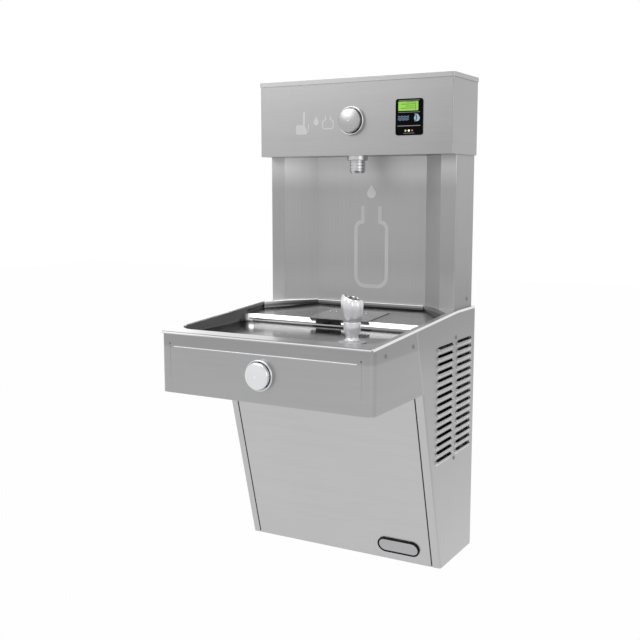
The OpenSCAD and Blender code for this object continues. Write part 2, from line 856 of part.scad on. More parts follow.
module apron_side() {
    top = lean_top(lip_h);
    front = -basin_d - over;
    polygon([
        [front_y(apron_z), apron_z], [front_y(top), top], [front, rim_at(front) - lip_h],
        [front, apron_z]
    ]);
}
module apron_pan() color(steel) difference() {
    translate([0, 0, apron_z]) linear_extrude(pan_edge)
        front_rounded(2 * inner_half, basin_d - sheet, apron_r - sheet);
    translate([0, over, apron_z + sheet]) linear_extrude(pan_edge) difference() {
        front_rounded(2 * (inner_half - sheet), basin_d - 2 * sheet + over, apron_r - 2 * sheet);
        translate([-half_w, front_y(apron_z) - over - sheet / cos(lean), 0]) square([cabinet_w, foot_d]);
    }
    across(2 * (half_w + over)) wedge(apron_z - over, apron_z + pan_edge + over, 0, -over);
}

// Drain: a loose plate on the deck, and a box below it that the slot and the deck hole empty into
plate_t = 1.5;
plate_lip = 4;
plate_corner_r = 3;
stud_r = 3.6;
stud_h = 2.2;
stud_count = 7;
stud_pitch = 14.4;
stud_inset = 71;
stud_reach = deck_front - stud_inset;
stud_x = -5;
plate_x = 9;
module drain_plate() color(steel) {
    back = drain_plate_d - deck_front - plate_lip;
    front = -deck_front - plate_lip;
    intersection() {
        translate([plate_x, (front + back) / 2, deck_at(front) - over])
            linear_extrude(rim_fall) rounded_rect(drain_plate_w, drain_plate_d, plate_corner_r);
        translate([plate_x, 0, 0]) across(drain_plate_w) polygon([
            [front, deck_at(front)], [back, deck_at(back)],
            [back, deck_at(back) + plate_t], [front, deck_at(front) + plate_t]
        ]);
    }
    ball_r = (stud_r * stud_r + stud_h * stud_h) / (2 * stud_h);
    for (i = [0:stud_count - 1])
        translate([stud_x + (i - (stud_count - 1) / 2) * stud_pitch, -stud_reach,
                   deck_at(-stud_reach) + plate_t / 2])
            intersection() {
                translate([0, 0, stud_h + plate_t / 2 - ball_r]) sphere(ball_r);
                cylinder(r = stud_r, h = stud_h + plate_t);
            }
}

box_w = 86;
box_d = 84;
box_wall = 2;
box_drop = 61;
box_floor_z = rim_z - box_drop;
waste_x = slot_x;
waste_inset = 40;
waste_reach = deck_front - waste_inset;
waste_wall = 1;
module box_side(grow) {
    front = sheet - deck_front;
    polygon([
        [front + box_wall * (1 - grow), deck_at(front) - sheet + over * (1 - grow)],
        [front + box_d - box_wall * (1 - grow), deck_at(front + box_d) - sheet + over * (1 - grow)],
        [front + box_d - box_wall * (1 - grow), box_floor_z + box_wall * (1 - grow)],
        [front + box_wall * (1 - grow), box_floor_z + box_wall * (1 - grow)]
    ]);
}
module drain_box() color(white) difference() {
    translate([slot_x, 0, 0]) across(box_w) box_side(1);
    translate([slot_x, 0, 0]) across(box_w - 2 * box_wall) box_side(0);
    translate([slot_x, -deck_front, deck_at(-deck_front) - slot_h / 2 - sheet])
        cube([slot_w, 4 * box_wall + 2 * over, slot_h], center = true);
    translate([waste_x, -waste_reach, box_floor_z - over])
        cylinder(r = waste_d / 2 - waste_wall + fit, h = box_wall + 2 * over);
}
trap_bend_r = 26;
trap_drop = 144;
outlet_drop = 88;
trap_bottom_z = box_floor_z - trap_drop;
trap_top_z = box_floor_z - outlet_drop;
trap_step = 58;
module waste_tube() color(bright)
    tube_run(
        [[waste_x, -waste_reach, box_floor_z], [waste_x, -waste_reach, trap_bottom_z],
         [waste_x, -waste_reach + trap_step, trap_bottom_z],
         [waste_x, -waste_reach + trap_step, trap_top_z], [waste_x, 0, trap_top_z]],
        waste_d / 2, waste_wall, trap_bend_r
    );

// Bubbler: a fluted hood on a tapered stem, in one piece with its threaded shank
base_r = 31;
base_h = 2.4;
base_edge = 1.1;
stem_foot_r = 14.6;
stem_flare = 4;
waist_share = 0.43;
waist_r = 19.4;
groove_r = 1;
hood_neck_r = 20.2;
hood_round = 15;
shank_l = 36;
shank_bore_r = 3;
spout_r = 10.5;
spout_tilt = 30;
spout_shift = 9;
spout_sink = 17;
flute_r = 9;
flute_count = 5;
flute_step = 38;
flute_start = 211;
flute_lean = 9;
module bubbler_body() {
    waist = bubbler_h * waist_share;
    hood = bubbler_d / 2;
    crown = bubbler_h - hood_round;
    rotate_extrude() difference() {
        union() {
            square([base_r - base_edge, base_h]);
            square([base_r, base_h - base_edge]);
            translate([base_r - base_edge, base_h - base_edge]) circle(base_edge);
            difference() {
                square([stem_foot_r + stem_flare, base_h + stem_flare]);
                translate([stem_foot_r + stem_flare, base_h + stem_flare]) circle(stem_flare);
            }
            polygon([
                [0, 0], [stem_foot_r, 0], [stem_foot_r, base_h + stem_flare], [waist_r, waist - groove_r],
                [waist_r, waist], [hood_neck_r, waist], [hood_neck_r, waist + groove_r],
                [hood, crown], [0, crown]
            ]);
            translate([0, crown]) square([hood - hood_round, hood_round]);
            translate([hood - hood_round, crown]) circle(hood_round);
        }
        translate([waist_r + groove_r / 2, waist]) circle(groove_r);
        translate([-bubbler_d, -over]) square([bubbler_d, bubbler_h + 2 * over]);
        translate([0, -bubbler_d]) square([bubbler_d, bubbler_d]);
    }
}
module bubbler() color(bright) translate([bubbler_x, -bubbler_reach, ledge_z]) {
    hood = bubbler_d / 2;
    crown = bubbler_h - hood;
    difference() {
        bubbler_body();
        for (i = [0:flute_count - 1]) rotate([0, 0, flute_start + i * flute_step])
            translate([hood + flute_r * 2 / 3, 0, crown - hood / 2]) rotate([0, -flute_lean, 0])
                cylinder(r1 = flute_r / 2, r2 = flute_r, h = bubbler_h);
        translate([spout_shift, 0, bubbler_h - spout_sink]) rotate([-spout_tilt, 0, 0]) {
            cylinder(r = spout_r, h = bubbler_h);
            sphere(spout_r);
        }
    }
    difference() {
        translate([0, 0, -shank_l]) cylinder(r = shank_r, h = shank_l);
        translate([0, 0, -shank_l - over]) cylinder(r = shank_bore_r, h = shank_l + over);
    }
}
bubbler_nut_af = 28;
bubbler_nut_h = 7;
module bubbler_nut() color(brass)
    translate([bubbler_x, -bubbler_reach, ledge_z - sheet - bubbler_nut_h])
        hex_nut(bubbler_nut_af, shank_r + fit, bubbler_nut_h);

feed_r = 4.76;
feed_wall = 0.9;
feed_bend = 10;
feed_y = -basin_d - port_z;
module bubbler_tube() color(copper) {
    tube_run(
        [[body_r + port_l, feed_y, bubbler_button_z], [bubbler_x, feed_y, bubbler_button_z],
         [bubbler_x, -bubbler_reach, bubbler_button_z], [bubbler_x, -bubbler_reach, ledge_z - shank_l]],
        feed_r, feed_wall, feed_bend
    );
    tube_run(
        [[-body_r - port_l, feed_y, bubbler_button_z], [tank_x, feed_y, bubbler_button_z],
         [tank_x, -feed_drop_reach, bubbler_button_z], [tank_x, -feed_drop_reach, tank_port_z],
         [tank_x, -tank_reach - tank_d / 2 - boss_l, tank_port_z]],
        feed_r, feed_wall, feed_bend
    );
}

// Tower
frame_reach = 34;
tower_bend_r = 1.8;
tower_bolt_w = 300;
tower_bolt_h = 300;
tower_bolt_rise = 90;
module tower_frame() color(zinc) {
    x = tower_w / 2 - sheet;
    difference() {
        translate([0, 0, rim_z]) folded_sheet(
            [[x, -frame_reach], [x, 0], [-x, 0], [-x, -frame_reach]], bend_r, frame_t,
            alcove_h + head_h
        );
        for (side = [-1, 1], z = [0, tower_bolt_h])
            facing_front(side * tower_bolt_w / 2, over, rim_z + tower_bolt_rise + z)
                cylinder(r = wall_bolt_r, h = 2 * over + frame_t);
        for (side = [0, 1]) mirror([side, 0, 0])
            screw_hole(tower_w / 2, -tower_screw_reach, rim_z + tower_screw_rise, screw_r);
    }
}
module tower_shell() color(satin) {
    w = tower_w / 2;
    m = mouth_w / 2;
    b = m - alcove_d;
    back = alcove_d - tower_d;
    difference() {
        translate([0, 0, rim_z]) folded_sheet(
            [[-w, 0], [-w, -tower_d], [-m, -tower_d], [-b, back], [b, back], [m, -tower_d],
             [w, -tower_d], [w, 0]],
            tower_bend_r, sheet, alcove_h
        );
        for (side = [0, 1]) mirror([side, 0, 0])
            screw_hole(tower_w / 2, -tower_screw_reach, rim_z + tower_screw_rise, screw_r);
    }
}

// Filler head: a box without top or back, whose floor roofs the alcove
head_corner_r = 2.5;
floor_gap = 2;
display_r = 5;
display_flange = 3.5;
display_seat = 0.2;
module filler_head() color(satin) difference() {
    translate([0, 0, head_z]) linear_extrude(head_h) front_rounded(head_w, head_d, head_corner_r);
    translate([0, over, head_z + sheet]) linear_extrude(head_h)
        front_rounded(head_w - 2 * sheet, head_d - sheet + over, head_corner_r - sheet);
    translate([0, over / 2 - (frame_reach + floor_gap) / 2, head_z])
        cube([tower_w - 2 * sheet, frame_reach + floor_gap + over, 4 * over], center = true);
    at_head() translate([0, 0, -over - sheet]) cylinder(r = barrel_r + fit, h = 2 * over + sheet);
    at_display() translate([0, 0, -over - sheet]) linear_extrude(2 * over + sheet)
        rounded_rect(
            display_w - 2 * display_flange + 2 * display_seat,
            display_h - 2 * display_flange + 2 * display_seat, display_flange
        );
    translate([0, -nozzle_reach, head_z - over]) cylinder(r = shank_r + fit, h = 2 * over + sheet);
}
module head_cover() color(satin) {
    w = head_w + 2 * gap;
    d = head_d + gap;
    difference() {
        translate([0, 0, head_z + head_h - cover_lip]) linear_extrude(cover_lip + sheet)
            front_rounded(w + 2 * sheet, d + sheet, head_corner_r + gap + sheet);
        translate([0, over, head_z + head_h - cover_lip - over]) linear_extrude(cover_lip + over)
            front_rounded(w, d + over, head_corner_r + gap);
    }
}

// Nozzle, drawn down from the head's underside
collar_r = 22;
collar_h = 10;
collar_round = 2;
nozzle_chamfer = 5;
nozzle_rings = 3;
nozzle_shank_l = 20;
nozzle_bore_r = 5;
insert_depth = 9;
insert_t = 6;
insert_wall = 4.5;
module filler_nozzle() color(bright) translate([0, -nozzle_reach, head_z]) {
    r = nozzle_d / 2;
    ring_pitch = (nozzle_l - nozzle_chamfer - collar_h) / nozzle_rings;
    rotate_extrude() difference() {
        union() {
            translate([0, -collar_h]) square([collar_r - collar_round, collar_h]);
            translate([0, collar_round - collar_h]) square([collar_r, collar_h - collar_round]);
            translate([collar_r - collar_round, collar_round - collar_h]) circle(collar_round);
            translate([0, nozzle_chamfer - nozzle_l]) square([r, nozzle_l - nozzle_chamfer]);
            polygon([[0, -nozzle_l], [r - nozzle_chamfer / 2, -nozzle_l], [r, nozzle_chamfer - nozzle_l],
                     [0, nozzle_chamfer - nozzle_l]]);
            square([shank_r, nozzle_shank_l]);
        }
        translate([0, -nozzle_l - over]) square([nozzle_bore_r, nozzle_l + nozzle_shank_l + 2 * over]);
        translate([0, -nozzle_l - over]) square([r - insert_wall, insert_depth + over]);
        for (i = [0:nozzle_rings - 1])
            translate([r + groove_r / 4, -collar_h - (i + 1 / 2) * ring_pitch]) circle(groove_r);
        translate([-collar_r, -nozzle_l]) square([collar_r, nozzle_l + nozzle_shank_l]);
    }
}
nozzle_nut_af = 26;
nozzle_nut_h = 6;
module nozzle_nut() color(brass) translate([0, -nozzle_reach, head_z + sheet])
    hex_nut(nozzle_nut_af, shank_r + fit, nozzle_nut_h);
insert_hole_r = 1.4;
insert_hole_pcd = 6.5;
insert_holes = 6;
module flow_insert() color(black)
    translate([0, -nozzle_reach, head_z - nozzle_l + insert_depth - insert_t]) difference() {
        cylinder(r = nozzle_d / 2 - insert_wall - fit, h = insert_t);
        for (i = [0:insert_holes - 1]) rotate([0, 0, i * 360 / insert_holes])
            translate([insert_hole_pcd, 0, -over])
                cylinder(r = insert_hole_r, h = insert_t + 2 * over);
        translate([0, 0, -over]) cylinder(r = insert_hole_r, h = insert_t + 2 * over);
    }

// Solenoid valve on the head's floor, with the tubes that feed it and the nozzle
solenoid_x = -78;
solenoid_w = 40;
solenoid_d = 30;
solenoid_h = 46;
solenoid_coil_r = 16;
solenoid_coil_h = 32;
solenoid_feed_h = 35;
cap_bend = 12;
nozzle_top = head_z + nozzle_shank_l;
outlet_z = head_z + solenoid_feed_h;
module filler_solenoid() color(white) translate([solenoid_x, -nozzle_reach, head_z + sheet]) {
    translate([-solenoid_w / 2, -solenoid_d / 2, 0]) cube([solenoid_w, solenoid_d, solenoid_h]);
    translate([0, 0, solenoid_h]) cylinder(r = solenoid_coil_r, h = solenoid_coil_h);
}
module filler_tubes() color(white) {
    tube_run(
        [[0, -nozzle_reach, nozzle_top], [0, -nozzle_reach, outlet_z],
         [solenoid_x + solenoid_w / 2, -nozzle_reach, outlet_z]],
        filler_tube_r, feed_wall, cap_bend
    );
    tube_run(
        [[tank_x, -tank_reach, tank_top], [tank_x, -tank_reach, tank_top + tank_loop],
         [tank_x, -riser_reach, tank_top + tank_loop], [tank_x, -riser_reach, outlet_z],
         [solenoid_x, -riser_reach, outlet_z], [solenoid_x, solenoid_d / 2 - nozzle_reach, outlet_z]],
        filler_tube_r, feed_wall, cap_bend
    );
}

// Display, drawn with Z out of the head's front
display_t = 1.8;
display_body_t = 9;
window_w = 44;
window_h = 18.5;
window_rise = 21.5;
window_shift = -2;
window_t = 1.2;
lens_r = 2;
lens_pitch = 7.4;
lens_drop = 27;
board_gap_t = 1.6;
module at_display() facing_front(display_x, -head_d, head_z + display_mid) children();
module display_bezel() color(black) at_display() difference() {
    union() {
        linear_extrude(display_t) rounded_rect(display_w, display_h, display_r);
        translate([0, 0, -display_body_t]) linear_extrude(display_body_t + display_t / 2)
            rounded_rect(display_w - 2 * display_flange, display_h - 2 * display_flange, display_flange);
    }
    translate([window_shift, window_rise, display_t - window_t]) linear_extrude(window_t + over)
        rounded_rect(window_w, window_h, window_t);
    for (i = [-1:1]) translate([i * lens_pitch, -lens_drop, display_t - 2 * window_t])
        cylinder(r = lens_r + fit, h = 2 * window_t + over);
}
module display_window() color(screen_green) at_display()
    translate([window_shift, window_rise, display_t - window_t])
        linear_extrude(window_t - gap) rounded_rect(window_w - 2 * fit, window_h - 2 * fit, window_t - fit);
module status_lenses() color(screen_green) at_display()
    for (i = [-1:1]) translate([i * lens_pitch, -lens_drop, display_t - 2 * window_t])
        cylinder(r = lens_r, h = 2 * window_t + gap);
module display_board() color(board_green) at_display()
    translate([0, 0, -display_body_t - board_gap_t]) linear_extrude(board_gap_t)
        rounded_rect(display_w - 2 * display_flange, display_h - 2 * display_flange, display_flange);

// Compressor on rubber grommets
shell_round = 28;
compressor_foot_w = 152;
compressor_foot_d = 96;
compressor_foot_t = 3;
grommet_r = 11;
grommet_h = 13;
grommet_neck = 5;
grommet_cap_r = 9;
grommet_inset = 13;
grommet_bore = 4;
stub_r = 5;
stub_l = 40;
seam_rise = 2;
seam_h = 4;
terminal_box = [34, 14, 44];
compressor_z = pan_t + grommet_h;
module at_compressor() translate([compressor_x, -compressor_reach, compressor_z]) children();
module grommet_places() for (x = [-1, 1], y = [-1, 1])
    translate([x * (compressor_foot_w / 2 - grommet_inset), y * (compressor_foot_d / 2 - grommet_inset), 0])
        children();
module compressor() color(black) at_compressor() {
    r = compressor_d / 2;
    rotate_extrude() {
        square([r - shell_round, compressor_h]);
        translate([0, shell_round]) square([r, compressor_h - 2 * shell_round]);
        for (z = [shell_round, compressor_h - shell_round]) translate([r - shell_round, z]) intersection() {
            circle(shell_round);
            translate([-shell_round / 2, -shell_round]) square([2 * shell_round, 2 * shell_round]);
        }
        translate([0, (compressor_h - seam_h) / 2]) square([r + seam_rise, seam_h]);
    }
    difference() {
        linear_extrude(compressor_foot_t) rounded_rect(compressor_foot_w, compressor_foot_d, grommet_r);
        grommet_places() translate([0, 0, -over])
            cylinder(r = grommet_neck + fit, h = compressor_foot_t + 2 * over);
    }
    translate([-r - terminal_box[1] / 2, -terminal_box[0] / 2, compressor_h / 2 - terminal_box[2]])
        cube([terminal_box[1], terminal_box[0], terminal_box[2] - seam_h / 2]);
    for (p = line_places)
        translate([p[0] - compressor_x, p[1] + compressor_reach, compressor_h - shell_round])
            cylinder(r = stub_r, h = stub_l);
}
module compressor_grommets() color(black) at_compressor() grommet_places() difference() {
    union() {
        translate([0, 0, -grommet_h]) cylinder(r = grommet_r, h = grommet_h);
        cylinder(r = grommet_neck, h = compressor_foot_t);
        translate([0, 0, compressor_foot_t]) cylinder(r = grommet_cap_r, h = compressor_foot_t);
    }
    translate([0, 0, -grommet_h - over]) cylinder(r = grommet_bore, h = 2 * grommet_h + 2 * over);
}

// Condenser: fins on serpentine tubes, with a shrouded fan that draws air in through the louvres
coil_w = 28;
coil_side_gap = 10;
coil_h = 206;
coil_front = 200;
coil_back = 30;
fin_t = 0.8;
fin_count = 12;
tube_rows = 6;
coil_tube_r = 4;
coil_x = frame_half - coil_side_gap - coil_w / 2;
coil_z0 = shelf_z;
fin_pitch = (coil_front - coil_back - 4 * coil_tube_r - fin_t) / (fin_count - 1);
row_pitch = coil_h / tube_rows;
module condenser() color(zinc) {
    y0 = 2 * coil_tube_r - coil_front;
    y1 = -2 * coil_tube_r - coil_back;
    for (i = [0:fin_count - 1]) translate([coil_x - coil_w / 2, y0 + i * fin_pitch, coil_z0])
        cube([coil_w, fin_t, coil_h]);
    for (k = [0:tube_rows - 1]) {
        z = coil_z0 + row_pitch * (k + 1 / 2);
        translate([coil_x, y0, z]) rotate([-90, 0, 0]) cylinder(r = coil_tube_r, h = y1 - y0);
        if (k < tube_rows - 1)
            translate([coil_x, k % 2 == 0 ? y1 : y0, z + row_pitch / 2])
                rotate([k % 2 == 0 ? 0 : 180, 0, 0]) return_bend();
    }
}
module return_bend() {
    intersection() {
        rotate([0, 90, 0]) rotate_extrude() translate([row_pitch / 2, 0]) circle(coil_tube_r);
        translate([-coil_tube_r, 0, -row_pitch]) cube([2 * coil_tube_r, row_pitch, 2 * row_pitch]);
    }
}

shroud_t = 1.5;
shroud_ring = 18;
tip_gap = 3;
fan_z = shelf_z + coil_h / 2;
fan_reach = (coil_front + coil_back) / 2;
shroud_x = coil_x - coil_w / 2 - shroud_t;
strap_h = 36;
strap_leg = 5;
motor_back = 34;
motor_r = 27;
motor_l = 36;
motor_round = 3;
hub_r = 17;
hub_l = 14;
fan_shaft_r = 3;
shaft_in = 12;
blade_t = 1.6;
blade_count = 5;
blade_pitch = 28;
blade_w = 46;
blade_root = 2;
hub_z = -shroud_ring / 2;
module at_fan() translate([shroud_x, -fan_reach, fan_z]) rotate([0, 90, 0]) children();
module fan_shroud() color(zinc) at_fan() {
    side = coil_front - coil_back;
    difference() {
        union() {
            translate([0, 0, shroud_t / 2]) cube([coil_h, side, shroud_t], center = true);
            translate([0, 0, -shroud_ring]) cylinder(r = fan_d / 2 + tip_gap + shroud_t, h = shroud_ring);
        }
        translate([0, 0, -shroud_ring - over])
            cylinder(r = fan_d / 2 + tip_gap, h = shroud_ring + shroud_t + 2 * over);
    }
    difference() {
        translate([-strap_h / 2, -side / 2, -motor_back]) cube([strap_h, side, motor_back]);
        translate([-strap_h / 2 - over, strap_leg - side / 2, shroud_t - motor_back])
            cube([strap_h + 2 * over, side - 2 * strap_leg, motor_back + over]);
        translate([0, 0, -motor_back - over]) cylinder(r = 2 * fan_shaft_r, h = 2 * over + shroud_t);
    }
}
module fan_motor() color(black) at_fan() translate([0, 0, -motor_back - motor_l]) difference() {
    union() {
        cylinder(r = motor_r - motor_round, h = motor_l);
        translate([0, 0, motor_round]) cylinder(r = motor_r, h = motor_l - 2 * motor_round);
    }
    translate([0, 0, motor_l - shaft_in]) cylinder(r = fan_shaft_r + fit, h = shaft_in + over);
}
module fan_blade() color(black) at_fan() translate([0, 0, hub_z]) {
    translate([0, 0, -hub_l / 2]) cylinder(r = hub_r, h = hub_l);
    translate([0, 0, gap - hub_z - motor_back - shaft_in])
        cylinder(r = fan_shaft_r, h = shaft_in + motor_back + hub_z - gap);
    intersection() {
        translate([0, 0, -hub_l / 2]) cylinder(r = fan_d / 2, h = hub_l);
        for (i = [0:blade_count - 1]) rotate([0, 0, i * 360 / blade_count])
            rotate([blade_pitch, 0, 0]) translate([hub_r - blade_root, -blade_w / 2, -blade_t / 2])
                cube([fan_d / 2, blade_w, blade_t]);
    }
}

// Cooling tank, with bosses for its water and refrigerant lines
tank_x = riser_x;
tank_reach = 100;
tank_round = 10;
boss_r = 8;
boss_l = 8;
tank_port_z = 388;
tank_line_z = 300;
tank_top = shelf_z + tank_h + boss_l;
tank_loop = 20;
feed_lead = 25;
feed_drop_reach = tank_reach + tank_d / 2 + boss_l + feed_lead;
module cooling_tank() color(black) translate([tank_x, -tank_reach, shelf_z]) {
    r = tank_d / 2;
    cylinder(r = r, h = tank_h - tank_round);
    rotate_extrude() {
        square([r - tank_round, tank_h]);
        translate([0, tank_h - 2 * tank_round]) square([r, tank_round]);
        translate([r - tank_round, tank_h - tank_round]) circle(tank_round);
    }
    cylinder(r = boss_r, h = tank_h + boss_l);
    translate([0, 0, tank_port_z - shelf_z]) {
        rotate([0, 90, 0]) cylinder(r = boss_r, h = r + boss_l);
        rotate([90, 0, 0]) cylinder(r = boss_r, h = r + boss_l);
    }
    translate([0, 0, tank_line_z - shelf_z]) rotate([90, 0, 0]) cylinder(r = boss_r, h = r + boss_l);
}

// Water filter: the cartridge turns in its head, which hangs from the frame's rail
filter_gap = 17.8;
filter_x = shroud_x - motor_back - motor_l - filter_d / 2 - filter_gap;
filter_reach = 100;
filter_z = 242;
filter_round = 12;
filter_neck_r = 22;
filter_neck_h = 16;
filter_head_h = 30;
filter_head_t = 8;
filter_top = filter_z + filter_h;
strap_w = 36;
strap_t = 4;
filter_port_z = filter_top + gap + filter_neck_h + strap_t;
module at_filter() translate([filter_x, -filter_reach, filter_z]) children();
module filter_cartridge() color(white) at_filter() {
    r = filter_d / 2;
    rotate_extrude() {
        translate([0, filter_round]) square([r, filter_h - 2 * filter_round]);
        square([r - filter_round, filter_h]);
        for (z = [filter_round, filter_h - filter_round]) translate([r - filter_round, z])
            circle(filter_round);
    }
    translate([0, 0, filter_h]) cylinder(r = filter_neck_r, h = filter_neck_h);
}
module filter_head() color(white) difference() {
    translate([filter_x, -filter_reach, filter_top + gap]) {
        cylinder(r = filter_neck_r + filter_head_t, h = filter_head_h);
        translate([-strap_w / 2, 0, 0]) cube([strap_w, filter_reach + hook_face - strap_t / 2, strap_t]);
        translate([-strap_w / 2, filter_reach + hook_face - strap_t, 0])
            cube([strap_w, strap_t, hook_top - filter_top - gap]);
        for (side = [-1, 1]) translate([0, 0, filter_port_z - filter_top - gap]) rotate([0, side * 90, 0])
            cylinder(r = boss_r, h = filter_neck_r + filter_head_t + boss_l);
    }
    translate([filter_x, -filter_reach, filter_top + gap - over])
        cylinder(r = filter_neck_r + fit, h = filter_neck_h + over);
}

power_inset = 105.3;
power_x = frame_half - power_inset;
power_size = [90, 60, 80];
power_reach = 22;
gland_r = 9;
gland_l = 12;
module power_box() color(black) {
    translate([power_x - power_size[0] / 2, -power_reach - power_size[1], pan_t]) cube(power_size);
    translate([power_x, -power_reach, pan_t + power_size[2] / 2]) rotate([-90, 0, 0])
        ring(gland_r, gland_r / 2, gland_l);
}

// Water lines: from the wall to the filter, and from the filter to the tank
inlet_bend = 12;
filter_port_x = filter_neck_r + filter_head_t + boss_l;
filter_drop_x = -50;
module inlet_tube() color(copper) {
    tube_run(
        [[filter_x + filter_port_x, -filter_reach, filter_port_z],
         [filter_x + filter_port_x + 2 * inlet_bend, -filter_reach, filter_port_z],
         [filter_x + filter_port_x + 2 * inlet_bend, 0, filter_port_z]],
        feed_r, feed_wall, inlet_bend
    );
    tube_run(
        [[filter_x - filter_port_x, -filter_reach, filter_port_z],
         [filter_drop_x, -filter_reach, filter_port_z],
         [filter_drop_x, -filter_reach, tank_port_z],
         [tank_x + tank_d / 2 + boss_l, -filter_reach, tank_port_z]],
        feed_r, feed_wall, feed_bend
    );
}

// Refrigerant lines, with the drier in the one from the condenser to the tank
line_r = 4;
line_wall = 0.8;
line_bend = 12;
line_lead = 9;
line_reach = coil_front + line_lead;
drier_r = 9;
drier_l = 80;
drier_x = 40;
module cooling_lines() color(copper) {
    stub_top = compressor_z + compressor_h - shell_round + stub_l;
    first = coil_z0 + row_pitch / 2;
    last = coil_z0 + coil_h - row_pitch / 2;
    front = 2 * coil_tube_r - coil_front;
    suction = line_places[0];
    discharge = line_places[1];
    translate([suction[0], suction[1], stub_top]) linear_extrude(shelf_z - stub_top)
        tube_ring(line_r, line_wall);
    tube_run(
        [[discharge[0], discharge[1], stub_top], [discharge[0], discharge[1], first],
         [discharge[0], -line_reach, first], [coil_x, -line_reach, first], [coil_x, front, first]],
        line_r, line_wall, line_bend
    );
    tube_run(
        [[coil_x, front, last], [coil_x, -line_reach, last], [tank_x, -line_reach, last],
         [tank_x, -line_reach, tank_line_z], [tank_x, -tank_reach - tank_d / 2 - boss_l, tank_line_z]],
        line_r, line_wall, line_bend
    );
    difference() {
        translate([drier_x, -line_reach, last]) rotate([0, 90, 0]) cylinder(r = drier_r, h = drier_l);
        translate([drier_x - over, -line_reach, last]) rotate([0, 90, 0])
            cylinder(r = line_r - line_wall, h = drier_l + 2 * over);
    }
}

rear_frame();
hanger_bracket();
bottom_pan();
component_shelf();
side_panel_left();
side_panel_right();
access_panel();
badge_rim();
badge_face();
casing_screws();
basin();
basin_arms();
apron();
apron_pan();
drain_plate();
drain_box();
waste_tube();
bubbler();
bubbler_nut();
bubbler_tube();
bubbler_bezel();
bubbler_button();
bubbler_button_nut();
bubbler_button_spring();
bubbler_button_clip();
bubbler_valve();
bubbler_plunger();
tower_frame();
tower_shell();
filler_head();
head_cover();
filler_bezel();
filler_button();
filler_button_nut();
filler_button_spring();
filler_button_clip();
filler_switch();
switch_plunger();
filler_nozzle();
nozzle_nut();
flow_insert();
filler_solenoid();
filler_tubes();
display_bezel();
display_window();
status_lenses();
display_board();
compressor();
compressor_grommets();
condenser();
fan_shroud();
fan_motor();
fan_blade();
cooling_tank();
filter_head();
filter_cartridge();
power_box();
inlet_tube();
cooling_lines();
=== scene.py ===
"""Finishes, markings and studio for the wall-hung bottle filling station."""

import math

import bmesh
import bpy
from mathutils import Matrix, Vector


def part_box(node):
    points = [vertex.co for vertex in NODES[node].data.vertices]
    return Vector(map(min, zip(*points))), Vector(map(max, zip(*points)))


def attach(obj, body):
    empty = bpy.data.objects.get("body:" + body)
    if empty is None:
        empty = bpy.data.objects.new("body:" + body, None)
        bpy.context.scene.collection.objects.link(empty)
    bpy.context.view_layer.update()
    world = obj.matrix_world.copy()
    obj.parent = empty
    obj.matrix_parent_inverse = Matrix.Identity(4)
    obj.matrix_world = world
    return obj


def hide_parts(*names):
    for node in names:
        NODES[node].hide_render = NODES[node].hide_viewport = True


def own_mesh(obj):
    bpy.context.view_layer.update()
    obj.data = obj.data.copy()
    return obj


bl_info = {
    "name": "Bottle Filling Station",
    "version": (1, 0, 0),
    "blender": (4, 5, 0),
    "location": "3D View > Sidebar > Filler",
    "description": "Finishes, markings and studio for a wall-hung bottle filler",
    "category": "Object",
}

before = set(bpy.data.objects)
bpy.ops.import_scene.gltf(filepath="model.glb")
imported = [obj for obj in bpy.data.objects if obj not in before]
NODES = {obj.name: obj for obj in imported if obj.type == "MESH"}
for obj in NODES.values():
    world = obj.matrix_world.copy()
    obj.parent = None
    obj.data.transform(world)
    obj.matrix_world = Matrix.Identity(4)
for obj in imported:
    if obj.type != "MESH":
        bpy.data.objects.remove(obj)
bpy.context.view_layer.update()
STATION = "station"

# Places taken from the frame, in metres, and the cabinet's lean and the rim's slope
SKIN = 0.00002
RIM_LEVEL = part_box("basin")[1].z
TOWER_DEPTH = -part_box("tower_shell")[0].y
HEAD_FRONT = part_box("filler_head")[0].y - SKIN
HEAD_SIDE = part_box("filler_head")[1].x
SIDE_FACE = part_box("basin")[1].x
APRON_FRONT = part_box("basin")[0].y - SKIN
ALCOVE_BACK = -0.042 - SKIN
WING_IN = 0.131
WING_OUT = 0.1855
WING_FRONT = -0.0965
DECK_FRONT = 0.205
FOOT_DEPTH = 0.168
# Level where the side panels' painted gradient of light and shade is zero
SIDE_SHADE_MIDDLE = 0.23
BOWL_FLOOR = 0.4905
LEDGE_CORNER = (0.217, -0.457, 0.0)
LEDGE_EDGE = 0.145
SPOUT_PLACE = (0.140, -0.395)
SPOUT_BASE = 0.49566
SHANK_RADIUS = 0.009
CREST_TURN = math.radians(207)
FRONT_TURN = math.radians(-55)
PETAL_TURN = math.radians(-62.5 - 7)
BEAD_LEVEL = 0.474
BEAD_HALF = 0.197
LOUVRE_LEVEL = 0.233
LOUVRE_PITCH = 0.0162
LOUVRE_ROWS = 15
LOUVRE_LENGTH = 0.082
LOUVRE_MIDDLES = (-0.162, -0.059)
PANEL_SEAM = 0.2097
LEAN = math.radians(15)
SPRING_WIRE = 0.0006
SPRING_TURNS = 4
RIM_SLOPE = 24 / 390

# Places of the alcove's marks and of the apron's seams
BOTTLE_MIDDLE = 0.002
BOTTLE_BASE = 0.5607
SHOULDER = 0.7020
NECK_TOP = 0.736
NECK_SHARE = 0.557
DROP_MIDDLE = 0.768
SEAM_PLACE = 0.2055
SEAM_LOW = 0.415
SEAM_HIGH = 0.476
SEAM_FOOT = 0.3835


# Sizes and colours a user would change


